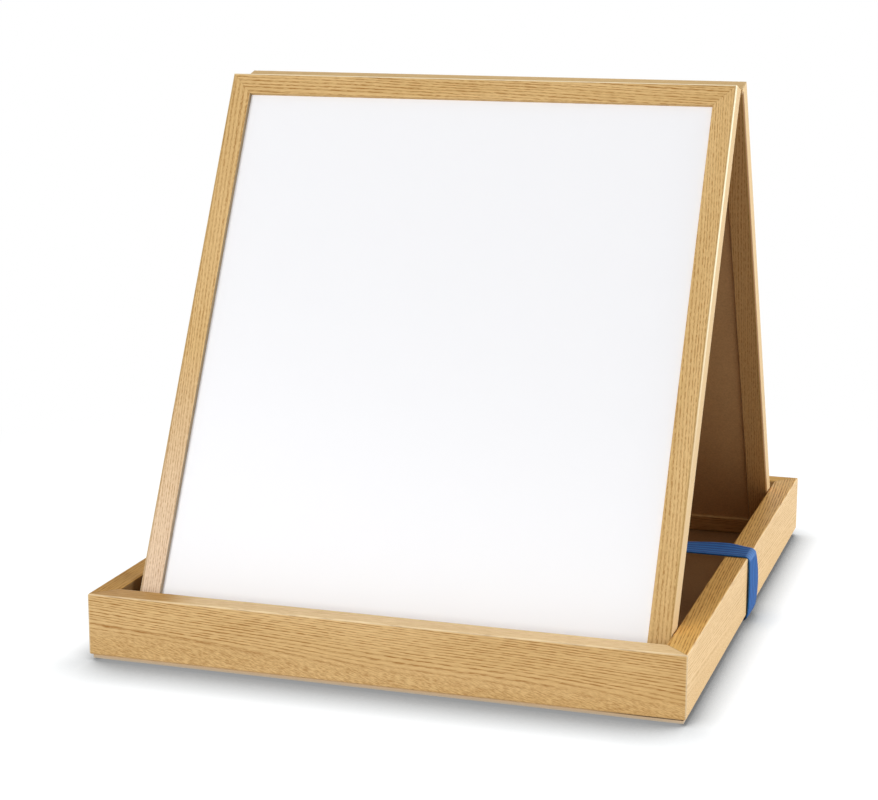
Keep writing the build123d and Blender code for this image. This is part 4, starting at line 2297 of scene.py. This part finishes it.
@dataclass(frozen=True)
class Studio:
    """A plain white studio with two large soft boxes and an even sky."""

    target: Vector = Vector((0, 0, 0.15))
    sky_level: float = 0.42
    lamps: tuple[Lamp, ...] = (
        Lamp("front soft box", Vector((-1.5, -4.4, 1.95)), 3.0, 0.56),
        Lamp("side soft box", Vector((3.72, 0.8, 1.35)), 2.0, 0.75, "#FAFCFF"),
    )
    camera_place: Vector = Vector((0.46996, -1.58638, 0.51778))
    camera_angles: tuple[float, float, float] = (0.3069, 0.2142, 0.0026)  # round Z, down, and roll
    lens: float = 87.62
    floor: PaperFloor = PaperFloor()

    def build(self) -> None:
        """Make the camera, the lamps, the sky and the floor."""
        self.build_camera()
        for lamp in self.lamps:
            lamp.build(self.target)
        self.build_sky()
        self.floor.build()

    def build_camera(self) -> None:
        """Make the camera."""
        data = bpy.data.cameras.new("camera")
        data.sensor_fit = "HORIZONTAL"
        data.sensor_width = 36.0
        data.lens = self.lens
        camera = bpy.data.objects.new("camera", data)
        heading, drop, roll = self.camera_angles
        turn = Matrix.Rotation(heading, 4, "Z") @ Matrix.Rotation(pi / 2 - drop, 4, "X")
        camera.matrix_world = Matrix.Translation(self.camera_place) @ turn @ Matrix.Rotation(roll, 4, "Z")
        bpy.context.scene.collection.objects.link(camera)
        bpy.context.scene.camera = camera
        log.info("camera: %.1f mm lens", self.lens)

    def build_sky(self) -> None:
        """Make an even sky, which the camera and reflections see as plain white."""
        world = bpy.data.worlds.new("sky")
        bpy.context.scene.world = world
        world.use_nodes = True
        tree = world.node_tree
        tree.nodes.clear()
        strength = add_node(
            tree,
            "ShaderNodeMapRange",
            {"Value": seen_directly(tree), "To Min": self.sky_level, "To Max": 1.0},
        )
        sky = add_node(
            tree,
            "ShaderNodeBackground",
            {"Color": linear("#FFFFFF"), "Strength": strength.outputs["Result"]},
        )
        add_node(tree, "ShaderNodeOutputWorld", {"Surface": sky.outputs["Background"]})
        log.info("sky: level %.2f", self.sky_level)


def seen_directly(tree: Tree) -> Socket:
    """Tell what the camera, gloss and glass see from what lights the easel.

    Args:
        tree: The node tree.

    Returns:
        A socket that is 1 for what they see, and otherwise 0.
    """
    path = add_node(tree, "ShaderNodeLightPath")
    gloss = add_node(
        tree,
        "ShaderNodeMath",
        {0: path.outputs["Is Camera Ray"], 1: path.outputs["Is Glossy Ray"]},
        operation="MAXIMUM",
    )
    return add_node(
        tree,
        "ShaderNodeMath",
        {0: gloss.outputs["Value"], 1: path.outputs["Is Transmission Ray"]},
        operation="MAXIMUM",
    ).outputs["Value"]


# ---------------------------------------------------------------- the whole easel


def main() -> None:
    """Build the studio and dress the easel."""
    logging.basicConfig(level=logging.INFO, format="%(name)s: %(message)s")
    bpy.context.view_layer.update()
    bpy.context.scene.view_settings.view_transform = "Standard"
    Studio().build()
    foil = OakFoil()
    Tray().dress(foil)
    for side in Side:
        Board(side).dress(foil)
    Hinges().dress()
    strap = Strap()
    strap.dress(strap.build())


if __name__ == "__main__":
    main()
